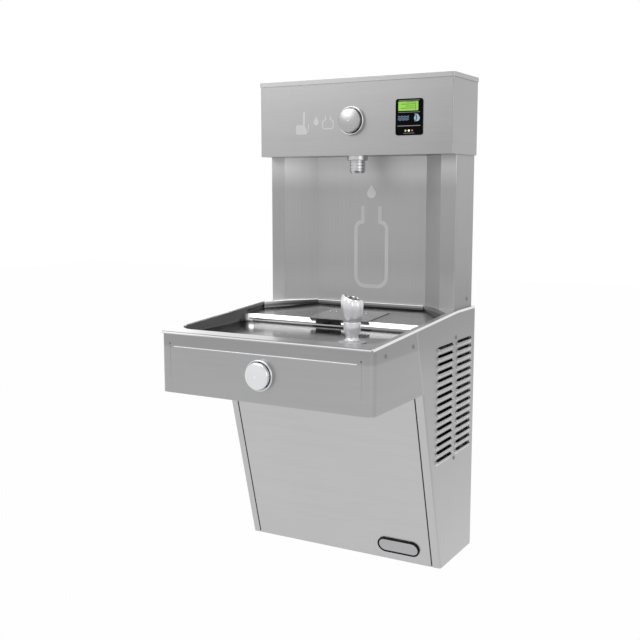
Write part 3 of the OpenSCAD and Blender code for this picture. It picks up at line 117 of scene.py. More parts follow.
class SteelSettings(bpy.types.PropertyGroup):
    """Tones of the stainless sheets and the strength of their grain."""

    panel: bpy.props.FloatVectorProperty(
        name="Access panel", description="Steel of the leaning panel", subtype="COLOR",
        size=3, min=0, max=1, default=(0.545, 0.545, 0.55),
    )
    side: bpy.props.FloatVectorProperty(
        name="Side panels", description="Steel of the louvred sides", subtype="COLOR",
        size=3, min=0, max=1, default=(0.44, 0.44, 0.445),
    )
    apron: bpy.props.FloatVectorProperty(
        name="Apron", description="Steel of the sheet round the basin", subtype="COLOR",
        size=3, min=0, max=1, default=(0.38, 0.38, 0.385),
    )
    basin: bpy.props.FloatVectorProperty(
        name="Basin", description="Steel of the drawn basin", subtype="COLOR",
        size=3, min=0, max=1, default=(0.70, 0.70, 0.705),
    )
    tower: bpy.props.FloatVectorProperty(
        name="Tower", description="Steel of the alcove and its flanges", subtype="COLOR",
        size=3, min=0, max=1, default=(0.395, 0.395, 0.395),
    )
    head: bpy.props.FloatVectorProperty(
        name="Filler head", description="Steel of the head and its cover", subtype="COLOR",
        size=3, min=0, max=1, default=(0.355, 0.355, 0.355),
    )
    grain: bpy.props.FloatProperty(
        name="Grain", description="Share by which the brushed grain changes the tone",
        subtype="FACTOR", min=0, max=0.5, default=0.07,
    )
    edge: bpy.props.FloatProperty(
        name="Edge rounding", description="Radius worked onto the sheets' edges",
        unit="LENGTH", subtype="DISTANCE", min=0, max=0.002, default=0.0005,
    )


class MarkingSettings(bpy.types.PropertyGroup):
    """Sizes of the printed marks and of the display's parts."""

    bottle_width: bpy.props.FloatProperty(
        name="Bottle mark width", description="Width of the bottle outline in the alcove",
        unit="LENGTH", subtype="DISTANCE", min=0.05, max=0.12, default=0.083,
    )
    bottle_line: bpy.props.FloatProperty(
        name="Bottle mark line", description="Width of the outline's stroke",
        unit="LENGTH", subtype="DISTANCE", min=0.002, max=0.015, default=0.0085,
    )
    ink: bpy.props.FloatVectorProperty(
        name="Ink", description="Pale grey of the printed marks", subtype="COLOR",
        size=3, min=0, max=1, default=(0.63, 0.63, 0.63),
    )
    faint_ink: bpy.props.FloatVectorProperty(
        name="Faint ink", description="Grey of the small marks on the head", subtype="COLOR",
        size=3, min=0, max=1, default=(0.51, 0.51, 0.51),
    )
    film: bpy.props.FloatProperty(
        name="Film thickness", description="Thickness of the printed marks",
        unit="LENGTH", subtype="DISTANCE", min=0.0001, max=0.001, default=0.00025,
    )


class StudioSettings(bpy.types.PropertyGroup):
    """Camera and light."""

    eye: bpy.props.FloatVectorProperty(
        name="Camera place", description="Place of the camera", unit="LENGTH",
        subtype="TRANSLATION", size=3, default=(0.9341, -1.9172, 0.7720),
    )
    turn: bpy.props.FloatVectorProperty(
        name="Camera turn", description="Turn of the camera", unit="ROTATION",
        subtype="EULER", size=3,
        default=(math.radians(82.2), 0, math.radians(29.5)),
    )
    lens: bpy.props.FloatProperty(
        name="Lens", description="Focal length in millimetres on a 36 mm sensor",
        min=20, max=200, default=53.64,
    )
    ambient: bpy.props.FloatProperty(
        name="Ambient light", description="Strength of the light from all round",
        min=0, max=2, default=0.55,
    )
    floor_drop: bpy.props.FloatProperty(
        name="Floor", description="Distance of the floor below the cabinet",
        unit="LENGTH", subtype="DISTANCE", min=0.1, max=1.5, default=0.6,
    )


# Materials


class Wire:
    """A number that varies over a surface: a socket whose arithmetic adds Math nodes."""

    def __init__(self, finish, socket):
        self.finish = finish
        self.socket = socket

    def _math(self, operation, *values):
        return self.finish.node("ShaderNodeMath", {"operation": operation}, dict(enumerate(values)))

    def __add__(self, other):
        return self._math("ADD", self, other)

    def __radd__(self, other):
        return self._math("ADD", other, self)

    def __sub__(self, other):
        return self._math("SUBTRACT", self, other)

    def __rsub__(self, other):
        return self._math("SUBTRACT", other, self)

    def __mul__(self, other):
        return self._math("MULTIPLY", self, other)

    def __rmul__(self, other):
        return self._math("MULTIPLY", other, self)

    def __truediv__(self, other):
        return self._math("DIVIDE", self, other)

    def __gt__(self, other):
        return self._math("GREATER_THAN", self, other)

    def __lt__(self, other):
        return self._math("LESS_THAN", self, other)

    def __abs__(self):
        return self._math("ABSOLUTE", self)

    def at_least(self, floor):
        """The larger of the value and a floor."""
        return self._math("MAXIMUM", self, floor)

    def inverse(self):
        """One less the value."""
        return 1 - self

    def clamped(self):
        """The value held between 0 and 1."""
        return self.finish.node("ShaderNodeClamp", {}, {0: self})


class Finish:
    """A material being made, round one Principled shader."""

    def __init__(self, name):
        self.material = bpy.data.materials.new(name)
        self.material.use_nodes = True
        self.nodes = self.material.node_tree.nodes
        self.links = self.material.node_tree.links
        self.shader = self.nodes["Principled BSDF"]
        self._axes = None

    def put(self, socket, value):
        """Sets a socket's value, or links a wire to it."""
        if isinstance(value, Wire):
            self.links.new(value.socket, socket)
        elif socket.type == "RGBA" and len(value) == 3:
            socket.default_value = (*value, 1)
        else:
            socket.default_value = value

    def node(self, kind, settings, inputs, output=0):
        """A node with its settings made before its sockets are filled."""
        made = self.nodes.new(kind)
        for name, value in settings.items():
            setattr(made, name, value)
        for name, value in inputs.items():
            self.put(made.inputs[name], value)
        return Wire(self, made.outputs[output])

    def axes(self):
        """The place on the piece as three wires, in metres."""
        if self._axes is None:
            place = self.node("ShaderNodeTexCoord", {}, {}, "Object")
            self._axes = [
                self.node("ShaderNodeSeparateXYZ", {}, {0: place}, i) for i in range(3)
            ]
        return self._axes

    def point(self, x, y, z=0.0):
        """A vector from three wires or numbers."""
        return self.node("ShaderNodeCombineXYZ", {}, {0: x, 1: y, 2: z})

    def noise(self, at, scale, detail=2.0, roughness=0.5):
        """Smooth noise from 0 to 1 at a vector."""
        return self.node(
            "ShaderNodeTexNoise", {},
            {"Vector": at, "Scale": scale, "Detail": detail, "Roughness": roughness},
        )

    def mix(self, share, low, high):
        """A colour between two, by a wire or number."""
        made = self.nodes.new("ShaderNodeMix")
        made.data_type = "RGBA"
        self.put(made.inputs["Factor"], share)
        self.put(made.inputs[6], low)
        self.put(made.inputs[7], high)
        return Wire(self, made.outputs[2])

    def step(self, value, low, high):
        """A smooth rise from 0 to 1 as a value goes from low to high."""
        return self.node(
            "ShaderNodeMapRange", {"interpolation_type": "SMOOTHSTEP"},
            {"Value": value, "From Min": low, "From Max": high},
        )

    def toned(self, colour, share):
        """A colour made lighter or darker by a wire."""
        return self.node(
            "ShaderNodeVectorMath", {"operation": "SCALE"}, {0: colour, "Scale": share}
        )

    def bump(self, height, strength, distance):
        """A normal from a height."""
        return self.node(
            "ShaderNodeBump", {}, {"Height": height, "Strength": strength, "Distance": distance}
        )

    def shade(self, **values):
        """Fills the shader's sockets, named with underscores for spaces."""
        for name, value in values.items():
            self.put(self.shader.inputs[name.replace("_", " ")], value)
        return self.material


def scaled(colour, share):
    """A colour made lighter or darker by a share."""
    return tuple(min(1.0, c * share) for c in colour)


GRAIN_LENGTH = 6.0
GRAIN_WIDTH = 700.0
STREAK_LENGTH = 1.5
STREAK_WIDTH = 60.0
CLOUD = 9.0


def brushed(name, colour, along, across, grain, rough=0.33, metallic=1.0, painted_light_slope=(), painted_side_light=()):
    """Brushed stainless: long fine lines, faint clouds and a grain that catches the light.

    A drift is a painted gradient of light and shade: an axis, a place on it and the change of the tone over
    a metre from there.
    A flank is painted light on a sheet's side: an axis, the place where a fold takes the sheet round to its
    side, and the change there.
    """
    finish = Finish(name)
    x, y, z = finish.axes()
    wires = {"x": x, "y": y, "z": z, "xy": x + y, "yz": y + z}
    run, side = wires[along], wires[across]
    lines = finish.noise(finish.point(run * GRAIN_LENGTH, side * GRAIN_WIDTH), 1.0, 3.0, 0.6)
    streaks = finish.noise(finish.point(run * STREAK_LENGTH, side * STREAK_WIDTH), 1.0, 2.0)
    clouds = finish.noise(finish.point(x, y, z), CLOUD, 3.0)
    tone = 1 + (lines - 0.5) * (2 * grain) + (streaks - 0.5) * grain + (clouds - 0.5) * 0.08
    # Painted gradient of light and shade along one axis
    if painted_light_slope:
        axis, middle, slope = painted_light_slope
        tone = tone + (wires[axis] - middle) * slope
    # Painted light on the side faces beyond a fold
    if painted_side_light:
        axis, place, share = painted_side_light
        tone = tone + finish.step(abs(wires[axis]), place - 0.002, place) * share
    return finish.shade(
        Base_Color=finish.toned(colour, tone),
        Metallic=metallic,
        Roughness=(rough + (lines - 0.5) * 0.2 + (clouds - 0.5) * 0.06).clamped(),
        Normal=finish.bump(lines, 0.1, 0.0002),
    )


def alcove(name, colour, grain):
    """The tower's steel with painted light: the right wing painted lighter as if lit from the left and
    darker in streaks at its foot, the front flanges painted darker, painted light under the head and on the
    lower part, and a painted gradient on the sides, lighter towards the top.
    """
    finish = Finish(name)
    x, y, z = finish.axes()
    lines = finish.noise(finish.point((x + y) * GRAIN_WIDTH, z * GRAIN_LENGTH), 1.0, 3.0, 0.6)
    streaks = finish.noise(finish.point((x + y) * STREAK_WIDTH, z * STREAK_LENGTH), 1.0, 2.0)
    clouds = finish.noise(finish.point(x, y, z), CLOUD, 3.0)
    # The right wing, painted lighter as if lit from the left
    wing = finish.step(x, WING_IN - 0.0005, WING_IN + 0.0005) * finish.step(
        y, WING_FRONT - 0.0005, WING_FRONT + 0.0005
    ) * finish.step(x, WING_OUT + 0.0005, WING_OUT - 0.0005)
    # The wing's foot, painted darker in streaks
    foot = finish.step(z, 0.60, 0.54) * wing
    tone = 1 + (lines - 0.5) * (2 * grain) + (streaks - 0.5) * grain + (clouds - 0.5) * 0.08
    # The front flanges, painted darker: painted shade
    ahead = finish.step(y, WING_FRONT - 0.0001, WING_FRONT - 0.0004)
    # Painted light under the head, lifting the shade that falls there
    high = finish.step(z, 0.765, 0.840) * (0.95 - ahead * 0.4 - wing * 0.5)
    # The side faces, which take a painted gradient lighter towards the top
    painted_side_light = finish.step(abs(x), 0.2185, 0.2195)
    # Painted light on the lower part, less on the wing and darker on the sides
    low = finish.step(z, 0.62, 0.56) * (0.15 - painted_side_light * 0.2 - wing * 0.1)
    # The wing's painted light, its foot's streaks and the flanges' painted shade, then the painted light
    # under the head, on the lower part and up the sides
    tone = tone + wing * 0.30 + foot * (streaks - 0.65) * 0.8 - ahead * 0.14
    tone = tone + high * painted_side_light.inverse() + low + painted_side_light * (z - 0.68) * 0.9
    return finish.shade(
        Base_Color=finish.toned(colour, tone),
        Metallic=0.55,
        Roughness=(0.45 + (lines - 0.5) * 0.2 + (clouds - 0.5) * 0.06).clamped(),
        Normal=finish.bump(lines, 0.1, 0.0002),
    )


def folded_side(name, side, front, grain):
    """The side panels' steel, with painted light: the front flanges painted in the access panel's tone, a
    painted gradient darker towards the top, and painted shadow and painted highlights along the louvres.
    """
    finish = Finish(name)
    x, y, z = finish.axes()
    lines = finish.noise(
        finish.point(z * GRAIN_LENGTH, (x + y) * GRAIN_WIDTH), 1.0, 3.0, 0.6
    )
    clouds = finish.noise(finish.point(x, y, z), CLOUD, 3.0)
    ahead = (0 - y) - z * math.tan(LEAN)
    # The front flanges, painted in the access panel's tone: painted light of a face turned to the front
    flange = finish.step(ahead, FOOT_DEPTH - 0.0018, FOOT_DEPTH - 0.0008)
    column = 0
    for middle in LOUVRE_MIDDLES:
        near = finish.step(abs(y - middle), LOUVRE_LENGTH / 2, LOUVRE_LENGTH / 2 - 0.004)
        column = near + column
    low = LOUVRE_LEVEL - LOUVRE_PITCH * 0.5
    rows = finish.step(z, low, low + 0.001) * finish.step(
        z, low + LOUVRE_PITCH * LOUVRE_ROWS, low + LOUVRE_PITCH * LOUVRE_ROWS - 0.001
    ) * column
    turn = finish.node(
        "ShaderNodeMath", {"operation": "WRAP"},
        {0: z, 1: LOUVRE_LEVEL + 0.001 + LOUVRE_PITCH, 2: LOUVRE_LEVEL + 0.001},
    ) - (LOUVRE_LEVEL + 0.001)
    # Painted shadow and a painted highlight in each louvre row
    shadow = finish.step(turn, LOUVRE_PITCH * 0.45, 0.0)
    shine = finish.step(turn, LOUVRE_PITCH * 0.85, LOUVRE_PITCH * 0.62) * finish.step(
        turn, LOUVRE_PITCH * 0.42, LOUVRE_PITCH * 0.52
    )
    tone = 1 + (lines - 0.5) * (2 * grain) + (clouds - 0.5) * 0.08
    # Painted gradient darker towards the top, painted shade on the top band, and the louvres' painted
    # shadow and highlights
    flat = finish.toned(
        side, 1 + (SIDE_SHADE_MIDDLE - z) * 0.7 - finish.step(z, 0.40, 0.50) * 0.14
        + rows * (shine * 0.95 - shadow * 0.4)
    )
    return finish.shade(
        Base_Color=finish.toned(finish.mix(flange, flat, front), tone),
        Metallic=1.0,
        Roughness=(0.36 + (lines - 0.5) * 0.2 + (clouds - 0.5) * 0.06).clamped(),
        Normal=finish.bump(lines, 0.1, 0.0002),
    )


def drawn(name, colour):
    """The basin's steel: a satin rim and lip round a polished hollow, with painted light: a painted
    highlight on the rise and along the ledge's edge, painted shade on the walls, deck and floor, painted
    shade lines on the lip's front with a painted highlight between them, and the rim painted lighter to the
    left and at its sides.
    """
    finish = Finish(name)
    x, y, z = finish.axes()
    depth = RIM_LEVEL - ((0 - y) - TOWER_DEPTH).at_least(0) * RIM_SLOPE - z
    lip = finish.step(abs(x), SIDE_FACE - 0.0018, SIDE_FACE - 0.0008)
    nose = finish.step(0 - y, 0 - APRON_FRONT - 0.0012, 0 - APRON_FRONT - 0.0006)
    hollow = finish.step(depth, 0.0012, 0.0030) * nose.inverse() * lip.inverse()
    deck = finish.step(y, -DECK_FRONT - 0.002, 0.003 - DECK_FRONT)
    floor = finish.step(z, BOWL_FLOOR + 0.0035, BOWL_FLOOR + 0.0005) * deck.inverse()
    shelf = finish.step(depth, 0.0125, 0.0138) * deck
    wall = hollow * deck * shelf.inverse() + hollow * deck.inverse() * floor.inverse()
    foot = finish.step(z, BOWL_FLOOR + 0.0085, BOWL_FLOOR + 0.0045)
    rise = finish.step(abs(y + DECK_FRONT), 0.0075, 0.0035) * finish.step(depth, 0.0135, 0.016)
    corner = finish.node(
        "ShaderNodeVectorMath", {"operation": "DISTANCE"},
        {0: finish.point(x, y), 1: LEDGE_CORNER}, "Value",
    )
    ledge = finish.step(corner, LEDGE_EDGE + 0.004, LEDGE_EDGE) * deck.inverse()
    ledge = ledge * finish.step(depth, 0.0105, 0.0120)
    # Painted highlight along the ledge's edge
    ledge_highlight = finish.step(abs(corner - LEDGE_EDGE), 0.007, 0.003) * ledge * 0.6
    # Painted highlight on the rise and along the ledge's edge
    bright = ((rise + ledge_highlight) * foot.inverse()).clamped()
    wall = (wall * bright.inverse() * ledge.inverse() * rise.inverse()).clamped()
    # Painted shade deeper down the walls behind the deck's front
    shade = finish.step(depth, 0.0060, 0.0080) * deck * wall
    lines = finish.noise(finish.point(x * GRAIN_LENGTH, (y + z) * GRAIN_WIDTH), 1.0, 3.0, 0.6)
    smears = finish.noise(finish.point(x, y, z), 22.0, 4.0)
    spots = finish.noise(finish.point(x, y, z), 160.0, 2.0)
    # Painted shade lines on the lip's front, with a painted highlight between them
    painted_shade_band = finish.step(depth, 0.0016, 0.0009) * 0.62 + finish.step(depth, 0.0031, 0.0038) * 0.45
    # The rim painted lighter to the left and at its sides, and its front lighter: painted light
    rim = 0.92 - x * 0.3 + finish.step(x, -0.10, -0.20) * 0.42 + lip * 0.3
    rim = (rim + nose * 0.25) * (1 - nose * painted_shade_band)
    # Painted shade on the bowl floor near the front
    near = finish.step(y, -0.30, -0.215) * floor
    # Painted light and shade in the hollow: the deck lighter to the right, the floor, its front and the
    # shelf's rear darker, and the walls darker still
    inner = 0.40 + finish.step(x, 0.02, 0.14) * deck * 0.12 - floor * 0.09 - near * 0.12
    inner = inner - finish.step(y, -0.15, -0.10) * shelf * 0.14
    inner = inner * wall.inverse() + wall * (0.36 - shade * 0.22)
    share = rim * hollow.inverse() + inner * hollow
    # Painted highlight: the rise and the ledge's edge at 1.4 times the basin's tone
    share = share * bright.inverse() + bright * 1.4
    satin = 0.24 + (lines - 0.5) * 0.16
    gloss = 0.13 + wall * 0.1 + shelf * 0.1 + (smears - 0.5) * 0.06 + (spots - 0.5) * 0.03
    lifted = finish.node(
        "ShaderNodeVectorMath", {"operation": "ADD"},
        {0: finish.bump(smears, 0.04, 0.0006), 1: finish.point(0.0, 0.0, bright * 0.7 + wall * 0.8)},
    )
    return finish.shade(
        Base_Color=finish.toned(
            colour, share * (1 + (lines - 0.5) * 0.12 + (smears - 0.5) * 0.08)
        ),
        Metallic=1.0,
        Roughness=(satin * hollow.inverse() + gloss * hollow).clamped(),
        Normal=finish.node("ShaderNodeVectorMath", {"operation": "NORMALIZE"}, {0: lifted}),
    )


def pressed_apron(name, colour, grain):
    """The apron's steel, with painted shade above the bead, a painted highlight along its crest and its
    sides painted darker.
    """
    finish = Finish(name)
    x, y, z = finish.axes()
    lines = finish.noise(
        finish.point((x + y) * GRAIN_LENGTH, z * GRAIN_WIDTH), 1.0, 3.0, 0.6
    )
    streaks = finish.noise(finish.point((x + y) * STREAK_LENGTH, z * STREAK_WIDTH), 1.0, 2.0)
    clouds = finish.noise(finish.point(x, y, z), CLOUD, 3.0)
    # Painted highlight along the bead's crest
    bead_highlight = finish.step(abs(z - BEAD_LEVEL), 0.0024, 0.0008) * finish.step(
        abs(x), BEAD_HALF + 0.002, BEAD_HALF
    ) * finish.step(y, APRON_FRONT + 0.003, APRON_FRONT + 0.001)
    # Painted shade just above the bead
    painted_shade_band = finish.step(z, BEAD_LEVEL - 0.004, BEAD_LEVEL + 0.004)
    tone = 1 + (lines - 0.5) * (2 * grain) + (streaks - 0.5) * grain + (clouds - 0.5) * 0.08
    # Painted gradient darker towards the rim and lighter below the bead, with the crest's painted highlight
    tone = tone + (BEAD_LEVEL - z) * 0.5 - painted_shade_band * 0.16 + bead_highlight * 0.45
    # The turned sides, painted darker: painted shade
    side = finish.step(abs(x), SIDE_FACE - 0.010, SIDE_FACE - 0.001)
    return finish.shade(
        Base_Color=finish.toned(colour, tone - side * 0.08),
        Metallic=1.0,
        Roughness=(0.33 + (lines - 0.5) * 0.2 + (clouds - 0.5) * 0.06).clamped(),
        Normal=finish.bump(lines, 0.1, 0.0002),
    )


def plated(name, colour, rough=0.08, spots=0.02):
    """Polished plating with faint wear in its gloss."""
    finish = Finish(name)
    x, y, z = finish.axes()
    at = finish.point(x, y, z)
    smears = finish.noise(at, 60.0, 4.0)
    ripple = finish.noise(at, 14.0, 2.0)
    base = finish.mix(ripple, scaled(colour, 1 - spots), scaled(colour, 1 + spots))
    return finish.shade(
        Base_Color=base,
        Metallic=1.0,
        Roughness=(rough + (smears - 0.5) * 0.08).clamped(),
        Normal=finish.bump(ripple, 0.05, 0.0004),
    )


def moulded(name, colour, rough=0.45, grit=0.25, metallic=0.0, cloud=0.06):
    """Moulded plastic, rubber or enamel with a fine texture."""
    finish = Finish(name)
    x, y, z = finish.axes()
    at = finish.point(x, y, z)
    fine = finish.noise(at, 900.0, 2.0)
    broad = finish.noise(at, 25.0, 3.0)
    base = finish.mix(broad, scaled(colour, 1 - cloud), scaled(colour, 1 + cloud))
    return finish.shade(
        Base_Color=base,
        Metallic=metallic,
        Roughness=(rough + (broad - 0.5) * 0.12).clamped(),
        Normal=finish.bump(fine, grit, 0.0002),
    )


def spangled(name, colour):
    """Zinc-plated steel with its crystal spangle."""
    finish = Finish(name)
    x, y, z = finish.axes()
    at = finish.point(x, y, z)
    crystals = finish.node(
        "ShaderNodeTexVoronoi", {"feature": "F1"}, {"Vector": at, "Scale": 90.0}, "Color"
    )
    tone = finish.node("ShaderNodeSeparateColor", {}, {0: crystals}, 0)
    cloud = finish.noise(at, 20.0, 3.0)
    base = finish.mix((tone * 0.6 + cloud * 0.4).clamped(), scaled(colour, 0.82), scaled(colour, 1.12))
    return finish.shade(Base_Color=base, Metallic=1.0, Roughness=(0.38 + tone * 0.14).clamped())


def wear(node, *materials):
    """Puts a material on a CAD node."""
    slots = NODES[node].data.materials
    slots.clear()
    for material in materials:
        slots.append(material)


def soften(node, width, segments=2, angle=35):
    """Rounds a CAD node's edges with modifiers, so that they catch the light."""
    piece = NODES[node]
    weld = piece.modifiers.new("Weld", "WELD")
    weld.merge_threshold = 0.00001
    bevel = piece.modifiers.new("Edges", "BEVEL")
    bevel.width = width
    bevel.segments = segments
    bevel.limit_method = "ANGLE"
    bevel.angle_limit = math.radians(angle)
    bevel.harden_normals = False
    even = piece.modifiers.new("Even shading", "WEIGHTED_NORMAL")
    even.mode = "FACE_AREA"
    even.keep_sharp = True
    return piece


# Flat printed marks and small raised pieces


def finish_piece(mesh, name, material, body=STATION):
    """Makes a bmesh a piece of the object, in place, riding on a body."""
    bmesh.ops.remove_doubles(mesh, verts=mesh.verts, dist=0.000001)
    bmesh.ops.recalc_face_normals(mesh, faces=mesh.faces)
    data = bpy.data.meshes.new(name)
    mesh.to_mesh(data)
    mesh.free()
    data.materials.append(material)
    piece = bpy.data.objects.new(name, data)
    bpy.context.scene.collection.objects.link(piece)
    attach(piece, body)
    return piece


def outline_face(mesh, outline, plane_y, thickness, lean=0.0):
    """A thin plate from an outline in X and Z, on a plane that faces the viewer or leans."""
    slope = math.tan(lean)
    verts = [mesh.verts.new((x, plane_y - z * slope, z)) for x, z in outline]
    face = mesh.faces.new(verts)
    face.normal_update()
    if face.normal.y > 0:
        face.normal_flip()
    pushed = bmesh.ops.extrude_face_region(mesh, geom=[face])["geom"]
    bmesh.ops.translate(
        mesh, vec=(0, -thickness, 0), verts=[g for g in pushed if isinstance(g, bmesh.types.BMVert)]
    )


def arc(cx, cz, radius, start, end, steps=8):
    """Points along an arc, in degrees."""
    return [
        (cx + radius * math.cos(math.radians(a)), cz + radius * math.sin(math.radians(a)))
        for a in (start + (end - start) * i / steps for i in range(steps + 1))
    ]


def drop_outline(cx, cz, width, height):
    """A water drop with its point up."""
    r = width / 2
    low = cz - height / 2 + r
    return arc(cx, low, r, 160, 380, 14) + [(cx + r * 0.42, low + r * 1.15), (cx, cz + height / 2), (cx - r * 0.42, low + r * 1.15)]


def stroke(mesh, path, width, plane_y, thickness, lean=0.0):
    """A printed line of one width along a path, as a strip of quads joined at mitres."""
    left, right = [], []
    for i, point in enumerate(path):
        here = Vector(point)
        before = Vector(path[max(i - 1, 0)])
        after = Vector(path[min(i + 1, len(path) - 1)])
        into = (here - before).normalized() if i > 0 else (after - here).normalized()
        out = (after - here).normalized() if i < len(path) - 1 else into
        along = (into + out).normalized()
        normal = Vector((-along.y, along.x)) * (width / 2 / max(0.3, along.dot(into)))
        left.append(here + normal)
        right.append(here - normal)
    for i in range(len(path) - 1):
        outline_face(
            mesh, [tuple(left[i]), tuple(left[i + 1]), tuple(right[i + 1]), tuple(right[i])],
            plane_y, thickness, lean,
        )


class CabinetFinishes(bpy.types.Operator):
    """Puts the steels on the cabinet, its panels and its plaque"""

    bl_idname = "filler.cabinet_finishes"
    bl_label = "Finish the cabinet"

    def execute(self, context):
        steel = context.scene.filler_steel
        wear("access_panel", brushed("panel steel", steel.panel, "x", "z", steel.grain, 0.36))
        side = folded_side("side steel", steel.side, steel.panel, steel.grain)
        for node in ("side_panel_left", "side_panel_right"):
            wear(node, side)
        apron = pressed_apron("apron steel", steel.apron, steel.grain)
        for node in ("apron", "apron_pan"):
            wear(node, apron)
        black = moulded("plaque black", (0.006, 0.006, 0.007), 0.35, 0.05)
        black.node_tree.nodes["Principled BSDF"].inputs["Specular IOR Level"].default_value = 0.1
        wear("badge_rim", black)
        wear("badge_face", brushed("plaque steel", (0.46, 0.46, 0.47), "x", "z", 0.08, 0.4))
        wear("casing_screws", plated("screw steel", (0.20, 0.20, 0.21), 0.32))
        return {"FINISHED"}


class BasinFinishes(bpy.types.Operator):
    """Puts the finishes on the basin, its drain and the bubbler"""

    bl_idname = "filler.basin_finishes"
    bl_label = "Finish the basin"

    def execute(self, context):
        steel = context.scene.filler_steel
        wear("basin", drawn("basin steel", steel.basin))
        wear("drain_plate", brushed("drain steel", scaled(steel.basin, 0.6), "x", "yz", 0.04, 0.18))
        chrome = plated("chrome", (0.62, 0.63, 0.64), 0.12)
        for node in ("bubbler_bezel", "waste_tube"):
            wear(node, chrome)
        wear("bubbler_button", plated("button chrome", (0.74, 0.75, 0.76), 0.16))
        return {"FINISHED"}


def spouted(name, colour):
    """The bubbler's satin plating with painted bands of light and shade: the stem painted lighter, the body
    above the groove darker, the hood painted lighter, and painted shade in the groove, on the base and in
    the mouth.
    """
    finish = Finish(name)
    x, y, z = finish.axes()
    up = z - SPOUT_BASE
    away = finish.node(
        "ShaderNodeVectorMath", {"operation": "DISTANCE"},
        {0: finish.point(x, y), 1: (*SPOUT_PLACE, 0.0)}, "Value",
    )
    # Painted shade in the mouth
    mouth = finish.step(away, 0.0142, 0.0128) * finish.step(up, 0.064, 0.066)
    hood = finish.step(up, 0.056, 0.076)
    groove = finish.step(abs(up - 0.0386), 0.0009, 0.0003)
    smears = finish.noise(finish.point(x, y, z * 0.4), 120.0, 3.0)
    cone = finish.step(up, 0.0386, 0.0420)
    base = finish.step(up, 0.0060, 0.0030)
    # Painted bands of light and shade up the bubbler
    share = 1.72 - cone * 0.50 + hood * 0.45 - base * 0.55 - groove * 0.6 + (smears - 0.5) * 0.25
    return finish.shade(
        Base_Color=finish.toned(colour, share * (1 - mouth * 0.85)),
        Metallic=(0.35 + hood * 0.5).clamped(),
        Roughness=(0.22 + (smears - 0.5) * 0.12).clamped(),
    )


class Bubbler(bpy.types.Operator):
    """Spins the bubbler and presses its petals and its mouth"""

    bl_idname = "filler.bubbler"
    bl_label = "Make the bubbler"

    def execute(self, context):
        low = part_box("bubbler")[0].z - SPOUT_BASE
        outline = (
            (0, low), (SHANK_RADIUS, low), (SHANK_RADIUS, 0.0), (0.0250, 0.0), (0.0262, 0.0008),
            (0.0258, 0.0020), (0.0200, 0.0030), (0.0145, 0.0045), (0.0118, 0.0070),
            (0.0108, 0.0105), (0.0122, 0.0150), (0.0143, 0.0190), (0.0155, 0.0240),
            (0.0159, 0.0300), (0.0159, 0.0360), (0.0159, 0.0378), (0.0151, 0.0386),
            (0.0160, 0.0394), (0.0172, 0.0420), (0.0184, 0.0480), (0.0192, 0.0540),
            (0.0197, 0.0600), (0.0201, 0.0660), (0.0202, 0.0710), (0.0198, 0.0760),
            (0.0189, 0.0800), (0.0172, 0.0832), (0.0152, 0.0840), (0.0136, 0.0830),
            (0.0126, 0.0790), (0.0110, 0.0740), (0.0090, 0.0710), (0, 0.0700),
        )
        mesh = bmesh.new()
        verts = [mesh.verts.new((radius, 0, up)) for radius, up in outline]
        edges = [mesh.edges.new(pair) for pair in zip(verts, verts[1:])]
        bmesh.ops.spin(
            mesh, geom=verts + edges, cent=(0, 0, 0), axis=(0, 0, 1), dvec=(0, 0, 0),
            angle=math.tau, steps=128, use_merge=True, use_duplicate=False,
        )
        for vert in mesh.verts:
            self.press(vert.co)
        bmesh.ops.translate(mesh, vec=(*SPOUT_PLACE, SPOUT_BASE), verts=mesh.verts)
        piece = finish_piece(mesh, "bubbler_spout", spouted("bubbler plating", (0.46, 0.46, 0.47)))
        for face in piece.data.polygons:
            face.use_smooth = True
        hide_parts("bubbler")
        return {"FINISHED"}

    def press(self, place):
        """Moves a point of the spun form to its petal and to the slant of the mouth."""
        if place.z < 0.0395:
            return
        angle = math.atan2(place.y, place.x)
        rise = min(1, (place.z - 0.0395) / 0.02)
        petal = 1 + 0.11 * rise * (abs(math.cos(4 * (angle - PETAL_TURN))) - 0.75)
        place.x *= petal
        place.y *= petal
        slant = max(0, (place.z - 0.060) / 0.025)
        side = math.cos(angle - CREST_TURN)
        front = math.cos(angle - FRONT_TURN)
        place.z += slant * (0.0050 * max(0, side) ** 3 - 0.0035 * max(0, -side))
        place.z -= slant * 0.0035 * max(0, front) * (1 - max(0, side))


class HeadFinishes(bpy.types.Operator):
    """Puts the finishes on the tower, the filler head, its button and its nozzle"""

    bl_idname = "filler.head_finishes"
    bl_label = "Finish the tower and head"

    def execute(self, context):
        steel = context.scene.filler_steel
        wear("tower_shell", alcove("tower steel", steel.tower, steel.grain))
        # Painted light on the head and its cover: a painted gradient darker to the right and the side faces
        # painted lighter
        head = dict(painted_light_slope=("x", -0.05, -0.45), painted_side_light=("x", HEAD_SIDE, 0.22))
        wear("filler_head", brushed("head steel", steel.head, "xy", "z", steel.grain, 0.36, **head))
        wear("head_cover", brushed(
            "cover steel", scaled(steel.head, 1.1), "x", "yz", steel.grain, 0.34, **head
        ))
        wear("filler_bezel", plated("satin ring", (0.60, 0.60, 0.60), 0.2))
        wear("filler_button", brushed("satin button", (0.42, 0.42, 0.42), "x", "z", 0.04, 0.3))
        wear("filler_nozzle", plated("satin nozzle", (0.52, 0.52, 0.53), 0.24))
        return {"FINISHED"}


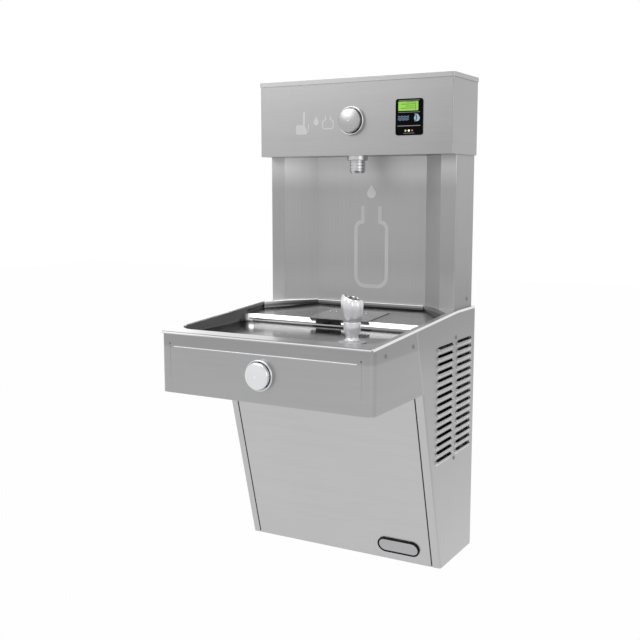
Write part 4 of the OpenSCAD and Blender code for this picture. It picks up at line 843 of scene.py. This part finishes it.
class DisplayFinishes(bpy.types.Operator):
    """Puts the finishes on the display, its screen and its lamps"""

    bl_idname = "filler.display_finishes"
    bl_label = "Finish the display"

    def execute(self, context):
        black = moulded("display black", (0.0025, 0.0025, 0.003), 0.4, 0.03)
        black.node_tree.nodes["Principled BSDF"].inputs["Specular IOR Level"].default_value = 0.03
        wear("display_bezel", black)
        screen = Finish("display screen")
        x, y, z = screen.axes()
        rows = screen.noise(screen.point(x * 8.0, z * 900.0), 1.0, 1.0)
        cells = screen.noise(screen.point(x * 500.0, z * 500.0), 1.0, 2.0)
        green = screen.mix(
            (rows * 0.6 + cells * 0.4).clamped(), (0.20, 0.48, 0.05), (0.36, 0.66, 0.11)
        )
        wear("display_window", screen.shade(
            Base_Color=green, Roughness=(0.12 + cells * 0.08).clamped(),
            Emission_Color=green, Emission_Strength=0.32, Specular_IOR_Level=0.2,
        ))
        low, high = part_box("status_lenses")
        middle = (low.x + high.x) / 2
        lamp = Finish("status lamps")
        x, y, z = lamp.axes()
        glow = lamp.noise(lamp.point(x, y, z), 400.0, 1.0)
        third = (high.x - low.x) / 4
        left = x < (middle - third)
        right = x > (middle + third)
        tint = lamp.mix(left, lamp.mix(right, (0.95, 0.80, 0.35), (0.14, 0.025, 0.025)), (0.20, 0.36, 0.14))
        tint = lamp.mix(glow * 0.16, tint, (0.9, 0.9, 0.85))
        wear("status_lenses", lamp.shade(
            Base_Color=tint, Roughness=0.2, Emission_Color=tint, Emission_Strength=1.0,
        ))
        wear("display_board", moulded("circuit board", (0.02, 0.10, 0.04), 0.35, 0.1))
        return {"FINISHED"}


class WorksFinishes(bpy.types.Operator):
    """Puts the finishes on the frame, the plumbing and the chiller inside"""

    bl_idname = "filler.works_finishes"
    bl_label = "Finish the works"

    def execute(self, context):
        zinc = spangled("zinc plate", (0.42, 0.43, 0.43))
        for node in ("rear_frame", "hanger_bracket", "bottom_pan", "component_shelf",
                     "basin_arms", "tower_frame", "fan_shroud"):
            wear(node, zinc)
        brass = plated("turned brass", (0.60, 0.46, 0.20), 0.25, 0.06)
        for node in ("bubbler_nut", "bubbler_button_nut", "filler_button_nut", "nozzle_nut",
                     "bubbler_plunger", "switch_plunger"):
            wear(node, brass)
        spring = plated("spring steel", (0.55, 0.55, 0.56), 0.2)
        for node in ("bubbler_button_clip", "filler_button_clip"):
            wear(node, spring)
        for button in ("bubbler_button", "filler_button"):
            self.wind(button, spring)
        copper = plated("copper tube", (0.62, 0.32, 0.20), 0.28, 0.08)
        for node in ("bubbler_tube", "inlet_tube", "cooling_lines"):
            wear(node, copper)
        white = moulded("white plastic", (0.70, 0.70, 0.68), 0.4)
        for node in ("drain_box", "bubbler_valve", "filler_solenoid", "filter_head"):
            wear(node, white)
        black = moulded("black plastic", (0.02, 0.02, 0.022), 0.45)
        for node in ("filler_switch", "flow_insert", "fan_blade", "power_box"):
            wear(node, black)
        wear("filler_tubes", moulded("tube plastic", (0.62, 0.65, 0.68), 0.3, 0.05))
        wear("compressor", moulded("compressor enamel", (0.016, 0.016, 0.018), 0.3, 0.15))
        wear("fan_motor", moulded("motor enamel", (0.03, 0.03, 0.032), 0.4, 0.2))
        wear("compressor_grommets", moulded("grommet rubber", (0.015, 0.015, 0.015), 0.75, 0.4))
        wear("condenser", brushed("coated fins", (0.03, 0.03, 0.032), "z", "xy", 0.1, 0.5, 0.3))
        wear("cooling_tank", moulded("foam jacket", (0.03, 0.03, 0.032), 0.85, 0.8, cloud=0.2))
        wear("filter_cartridge", moulded("filter shell", (0.72, 0.74, 0.77), 0.25, 0.05))
        return {"FINISHED"}

    def wind(self, button, steel):
        """A button's spring, wound anew as a coil in the CAD spring's place."""
        node = button + "_spring"
        low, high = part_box(node)
        middle = (low.z + high.z) / 2
        steps = SPRING_TURNS * 24
        rise = (high.y - low.y - 2 * SPRING_WIRE) / steps
        mesh = bmesh.new()
        ring = bmesh.ops.create_circle(mesh, segments=10, radius=SPRING_WIRE)["verts"]
        place = (high.x - SPRING_WIRE, high.y - SPRING_WIRE, middle)
        bmesh.ops.translate(mesh, vec=place, verts=ring)
        bmesh.ops.spin(
            mesh, geom=mesh.verts[:] + mesh.edges[:], cent=(0, 0, middle), axis=(0, 1, 0),
            dvec=(0, -rise, 0), angle=SPRING_TURNS * math.tau, steps=steps, use_duplicate=False,
        )
        bmesh.ops.holes_fill(mesh, edges=[e for e in mesh.edges if e.is_boundary])
        piece = finish_piece(mesh, button + "_coil", steel)
        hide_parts(node)
        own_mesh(piece)


class Pictograms(bpy.types.Operator):
    """Prints the bottle outline in the alcove and the small marks on the head"""

    bl_idname = "filler.pictograms"
    bl_label = "Print the pictograms"

    def execute(self, context):
        marks = context.scene.filler_marks
        ink = moulded("pale ink", marks.ink, 0.5, 0.1)
        line = marks.bottle_line
        half = marks.bottle_width / 2 - line / 2
        neck = half * NECK_SHARE
        bottle = bmesh.new()
        shoulder = half - neck
        r = half * 0.6
        right = (
            arc(half - r, BOTTLE_BASE + r, r, -90, 0, 8)
            + arc(half - shoulder, SHOULDER - shoulder, shoulder, 0, 62, 6)
            + [(neck, SHOULDER), (neck, NECK_TOP)]
        )
        left = [(-x, z) for x, z in reversed(right)]
        path = [(x + BOTTLE_MIDDLE, z) for x, z in left + right]
        stroke(bottle, path, line, ALCOVE_BACK, marks.film)
        finish_piece(bottle, "bottle_mark", ink)
        drop = bmesh.new()
        outline_face(
            drop, drop_outline(BOTTLE_MIDDLE, DROP_MIDDLE, 0.0216, 0.030), ALCOVE_BACK, marks.film
        )
        # The drop's ink painted 1.2 times lighter: painted light against the shade under the head
        pale = moulded("drop ink", scaled(marks.ink, 1.2), 0.5, 0.1)
        finish_piece(drop, "drop_mark", pale)
        self.head_marks(moulded("faint ink", marks.faint_ink, 0.4, 0.1, 0.6), marks.film)
        return {"FINISHED"}

    def head_marks(self, ink, film):
        """A hand, a drop and a small bottle on the head's left."""
        hand = bmesh.new()
        palm_left, palm_right, palm_low, palm_high = -0.135, -0.112, 0.888, 0.908
        finger, finger_half, finger_top = -0.1145, 0.0027, 0.935
        r = 0.004
        fist = (
            arc(palm_left + r, palm_high - r, r, 180, 90, 4)
            + [(finger - finger_half, palm_high)]
            + arc(finger, finger_top - finger_half, finger_half, 180, 0, 6)
            + [(finger + finger_half, palm_high - 0.002)]
            + arc(palm_right + 0.002, palm_low + r, r, 0, -90, 4)
            + arc(palm_left + r, palm_low + r, r, 270, 180, 4)
        )
        outline_face(hand, fist, HEAD_FRONT, film)
        thumb = [
            (palm_right + 0.0075, palm_low + 0.0015), (palm_right + 0.0105, palm_low + 0.020),
            (palm_right + 0.0075, palm_low + 0.0225), (palm_right + 0.0065, palm_low + 0.006),
        ]
        outline_face(hand, thumb, HEAD_FRONT, film)
        finish_piece(hand, "hand_mark", ink)
        drop = bmesh.new()
        outline_face(drop, drop_outline(-0.085, 0.9165, 0.0130, 0.021), HEAD_FRONT, film)
        finish_piece(drop, "head_drop_mark", ink)
        small = bmesh.new()
        middle, low, high, half, neck = -0.0565, 0.8985, 0.915, 0.0125, 0.006
        right = (
            arc(middle + half - 0.004, low + 0.004, 0.004, -90, 0, 4)
            + [(middle + half, high - 0.002), (middle + neck, high + 0.003), (middle + neck, high + 0.010)]
        )
        left = [(2 * middle - x, z) for x, z in reversed(right)]
        stroke(small, left + right, 0.0030, HEAD_FRONT, film)
        finish_piece(small, "small_bottle_mark", ink)


class ApronSeams(bpy.types.Operator):
    """Draws the apron's front seams in its steel, a painted shadow strip for the relief above each and
    painted shadow strips along the access panel's side seams
    """

    bl_idname = "filler.apron_seams"
    bl_label = "Fold the apron's seams"

    def execute(self, context):
        apron = NODES["apron"].data.materials[0]
        # Dark strips of painted shadow, in the reliefs and along the access panel's seams
        shade = moulded("seam shadow", (0.02, 0.02, 0.02), 0.6, 0.1)
        film = context.scene.filler_marks.film
        seams = bmesh.new()
        notches = bmesh.new()
        for side in (-1, 1):
            x = side * SEAM_PLACE
            stroke(seams, [(x, SEAM_LOW), (x, SEAM_HIGH)], 0.0016, APRON_FRONT, film)
            stroke(notches, [(x, SEAM_HIGH + 0.002), (x, SEAM_HIGH + 0.0055)], 0.0018, APRON_FRONT, film)
        finish_piece(seams, "apron_seams", apron)
        finish_piece(notches, "apron_notches", shade)
        # Painted shadow of the access panel's side seams
        seam_shadows = bmesh.new()
        for side in (-1, 1):
            x = side * PANEL_SEAM
            stroke(seam_shadows, [(x, 0.003), (x, SEAM_FOOT)], 0.0026, -FOOT_DEPTH - SKIN, film, LEAN)
        finish_piece(seam_shadows, "panel_seam_shadows", shade)
        return {"FINISHED"}


class DisplayMarks(bpy.types.Operator):
    """Draws the rules, the wave mark and the screen's bars on the display"""

    bl_idname = "filler.display_marks"
    bl_label = "Print the display"

    def execute(self, context):
        low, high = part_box("display_bezel")
        face = low.y - 0.00002
        film = context.scene.filler_marks.film / 2
        middle = (low.x + high.x) / 2
        grey = moulded("rule grey", (0.30, 0.30, 0.30), 0.5, 0.05)
        rules = bmesh.new()
        for z, width, thick in (
            (high.z - 0.0034, 0.045, 0.0009), (high.z - 0.0268, 0.047, 0.0009),
            (low.z + 0.0185, 0.050, 0.0013), (low.z + 0.0040, 0.024, 0.0007),
        ):
            stroke(rules, [(middle - width / 2, z), (middle + width / 2, z)], thick, face, film)
        finish_piece(rules, "display_rules", grey)
        blue = moulded("mark blue", (0.12, 0.19, 0.30), 0.4, 0.05)
        pale = moulded("mark pale blue", (0.38, 0.55, 0.66), 0.4, 0.05)
        waves = bmesh.new()
        for row in range(3):
            z = low.z + 0.0305 + row * 0.0033
            path = [
                (low.x + 0.0055 + i * 0.0012, z + 0.0009 * math.sin(i * 1.1)) for i in range(21)
            ]
            stroke(waves, path, 0.0017, face, film)
        finish_piece(waves, "wave_mark", blue)
        drop = bmesh.new()
        outline_face(drop, drop_outline(high.x - 0.0125, low.z + 0.0345, 0.0125, 0.0150), face, film)
        stroke(
            drop,
            arc(high.x - 0.0215, low.z + 0.0345, 0.0085, 60, -60, 10), 0.0015, face, film,
        )
        finish_piece(drop, "display_drop", pale)
        self.screen_bars(film)
        return {"FINISHED"}

    def screen_bars(self, film):
        """Darker bars on the screen, as a level gauge shows."""
        low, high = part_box("display_window")
        face = low.y - 0.00002
        bars = bmesh.new()
        for row in range(4):
            z = low.z + 0.0050 + row * 0.0040
            stroke(bars, [(low.x + 0.006 + row % 2 * 0.010, z), (high.x - 0.008, z)], 0.0011, face, film)
        edge = high.x - 0.0058
        stroke(bars, [(edge, low.z + 0.0015), (edge, high.z - 0.0015)], 0.0013, face, film)
        dark = moulded("screen ink", (0.07, 0.22, 0.02), 0.4, 0.02)
        finish_piece(bars, "screen_bars", dark)


class Studio(bpy.types.Operator):
    """Sets the floor, the soft lights, the surroundings and the camera"""

    bl_idname = "filler.studio"
    bl_label = "Set the studio"

    def execute(self, context):
        settings = context.scene.filler_studio
        self.floor(settings.floor_drop)
        self.surroundings(settings.ambient)
        for name, place, aim, size, power in (
            ("key", (-1.6, -2.6, 2.4), (0, -0.2, 0.6), 1.8, 26.0),
            ("fill", (2.6, -1.8, 1.2), (0, -0.2, 0.5), 1.6, 9.0),
            ("top", (0.2, -0.9, 3.0), (0, -0.25, 0.5), 1.4, 14.0),
        ):
            self.lamp(name, place, aim, size, power)
        camera = bpy.data.objects.new("camera", bpy.data.cameras.new("camera"))
        bpy.context.scene.collection.objects.link(camera)
        camera.location = settings.eye
        camera.rotation_euler = settings.turn
        camera.data.sensor_width = 36
        camera.data.lens = settings.lens
        bpy.context.scene.camera = camera
        bpy.context.scene.view_settings.view_transform = "Standard"
        return {"FINISHED"}

    def floor(self, drop):
        """A wide pale floor that looks white to the camera."""
        mesh = bmesh.new()
        bmesh.ops.create_grid(mesh, x_segments=1, y_segments=1, size=12.0)
        bmesh.ops.translate(mesh, vec=(0, 0, -drop), verts=mesh.verts)
        data = bpy.data.meshes.new("floor")
        mesh.to_mesh(data)
        mesh.free()
        finish = Finish("pale floor")
        finish.shade(Base_Color=(0.8, 0.8, 0.8), Roughness=0.9)
        rays = finish.nodes.new("ShaderNodeLightPath")
        seen = Wire(finish, rays.outputs["Is Camera Ray"]) + Wire(finish, rays.outputs["Is Glossy Ray"])
        seen = (seen + Wire(finish, rays.outputs["Is Transmission Ray"])).clamped()
        glow = finish.node("ShaderNodeEmission", {}, {"Color": (1, 1, 1), "Strength": 1.0})
        both = finish.nodes.new("ShaderNodeMixShader")
        finish.put(both.inputs[0], seen * 0.98)
        finish.links.new(finish.shader.outputs[0], both.inputs[1])
        finish.links.new(glow.socket, both.inputs[2])
        finish.links.new(both.outputs[0], finish.nodes["Material Output"].inputs["Surface"])
        data.materials.append(finish.material)
        piece = bpy.data.objects.new("floor", data)
        bpy.context.scene.collection.objects.link(piece)

    def surroundings(self, ambient):
        """A white world to the camera and in reflections, and softer as light."""
        world = bpy.data.worlds.new("studio")
        bpy.context.scene.world = world
        world.use_nodes = True
        tree = world.node_tree
        background = tree.nodes["Background"]
        background.inputs["Color"].default_value = (1, 1, 1, 1)
        rays = tree.nodes.new("ShaderNodeLightPath")
        total = None
        for name in ("Is Camera Ray", "Is Glossy Ray", "Is Transmission Ray"):
            if total is None:
                total = rays.outputs[name]
                continue
            join = tree.nodes.new("ShaderNodeMath")
            join.operation = "ADD"
            join.use_clamp = True
            tree.links.new(total, join.inputs[0])
            tree.links.new(rays.outputs[name], join.inputs[1])
            total = join.outputs[0]
        level = tree.nodes.new("ShaderNodeMapRange")
        tree.links.new(total, level.inputs["Value"])
        level.inputs["To Min"].default_value = ambient
        level.inputs["To Max"].default_value = 1.0
        tree.links.new(level.outputs[0], background.inputs["Strength"])

    def lamp(self, name, place, aim, size, power):
        """A square soft lamp aimed at a point."""
        light = bpy.data.lights.new(name, "AREA")
        light.size = size
        light.energy = power
        lamp = bpy.data.objects.new(name, light)
        bpy.context.scene.collection.objects.link(lamp)
        lamp.location = place
        lamp.rotation_euler = (Vector(aim) - Vector(place)).to_track_quat("-Z", "Y").to_euler()


class EdgeRounding(bpy.types.Operator):
    """Rounds the edges of the sheets and castings that show"""

    bl_idname = "filler.edge_rounding"
    bl_label = "Round the edges"

    def execute(self, context):
        width = context.scene.filler_steel.edge
        for node in ("basin", "apron", "head_cover", "filler_head", "access_panel",
                     "side_panel_left", "side_panel_right"):
            soften(node, width)
        return {"FINISHED"}


class FillerPanel(bpy.types.Panel):
    """Lists the station's operators"""

    bl_idname = "VIEW3D_PT_filler"
    bl_label = "Bottle Filling Station"
    bl_space_type = "VIEW_3D"
    bl_region_type = "UI"
    bl_category = "Filler"

    def draw(self, context):
        for operator in OPERATORS:
            self.layout.operator(operator.bl_idname)


OPERATORS = (
    CabinetFinishes, BasinFinishes, Bubbler, HeadFinishes, DisplayFinishes, WorksFinishes,
    Pictograms, ApronSeams, DisplayMarks, EdgeRounding, Studio,
)
SETTINGS = {
    "filler_steel": SteelSettings, "filler_marks": MarkingSettings, "filler_studio": StudioSettings,
}


def register():
    for group in SETTINGS.values():
        bpy.utils.register_class(group)
    for name, group in SETTINGS.items():
        setattr(bpy.types.Scene, name, bpy.props.PointerProperty(type=group))
    for operator in OPERATORS:
        bpy.utils.register_class(operator)
    bpy.utils.register_class(FillerPanel)


def unregister():
    bpy.utils.unregister_class(FillerPanel)
    for operator in reversed(OPERATORS):
        bpy.utils.unregister_class(operator)
    for name in SETTINGS:
        delattr(bpy.types.Scene, name)
    for group in reversed(SETTINGS.values()):
        bpy.utils.unregister_class(group)


def main():
    register()
    for operator in OPERATORS:
        group, name = operator.bl_idname.split(".")
        getattr(getattr(bpy.ops, group), name)()


if __name__ == "__main__":
    main()
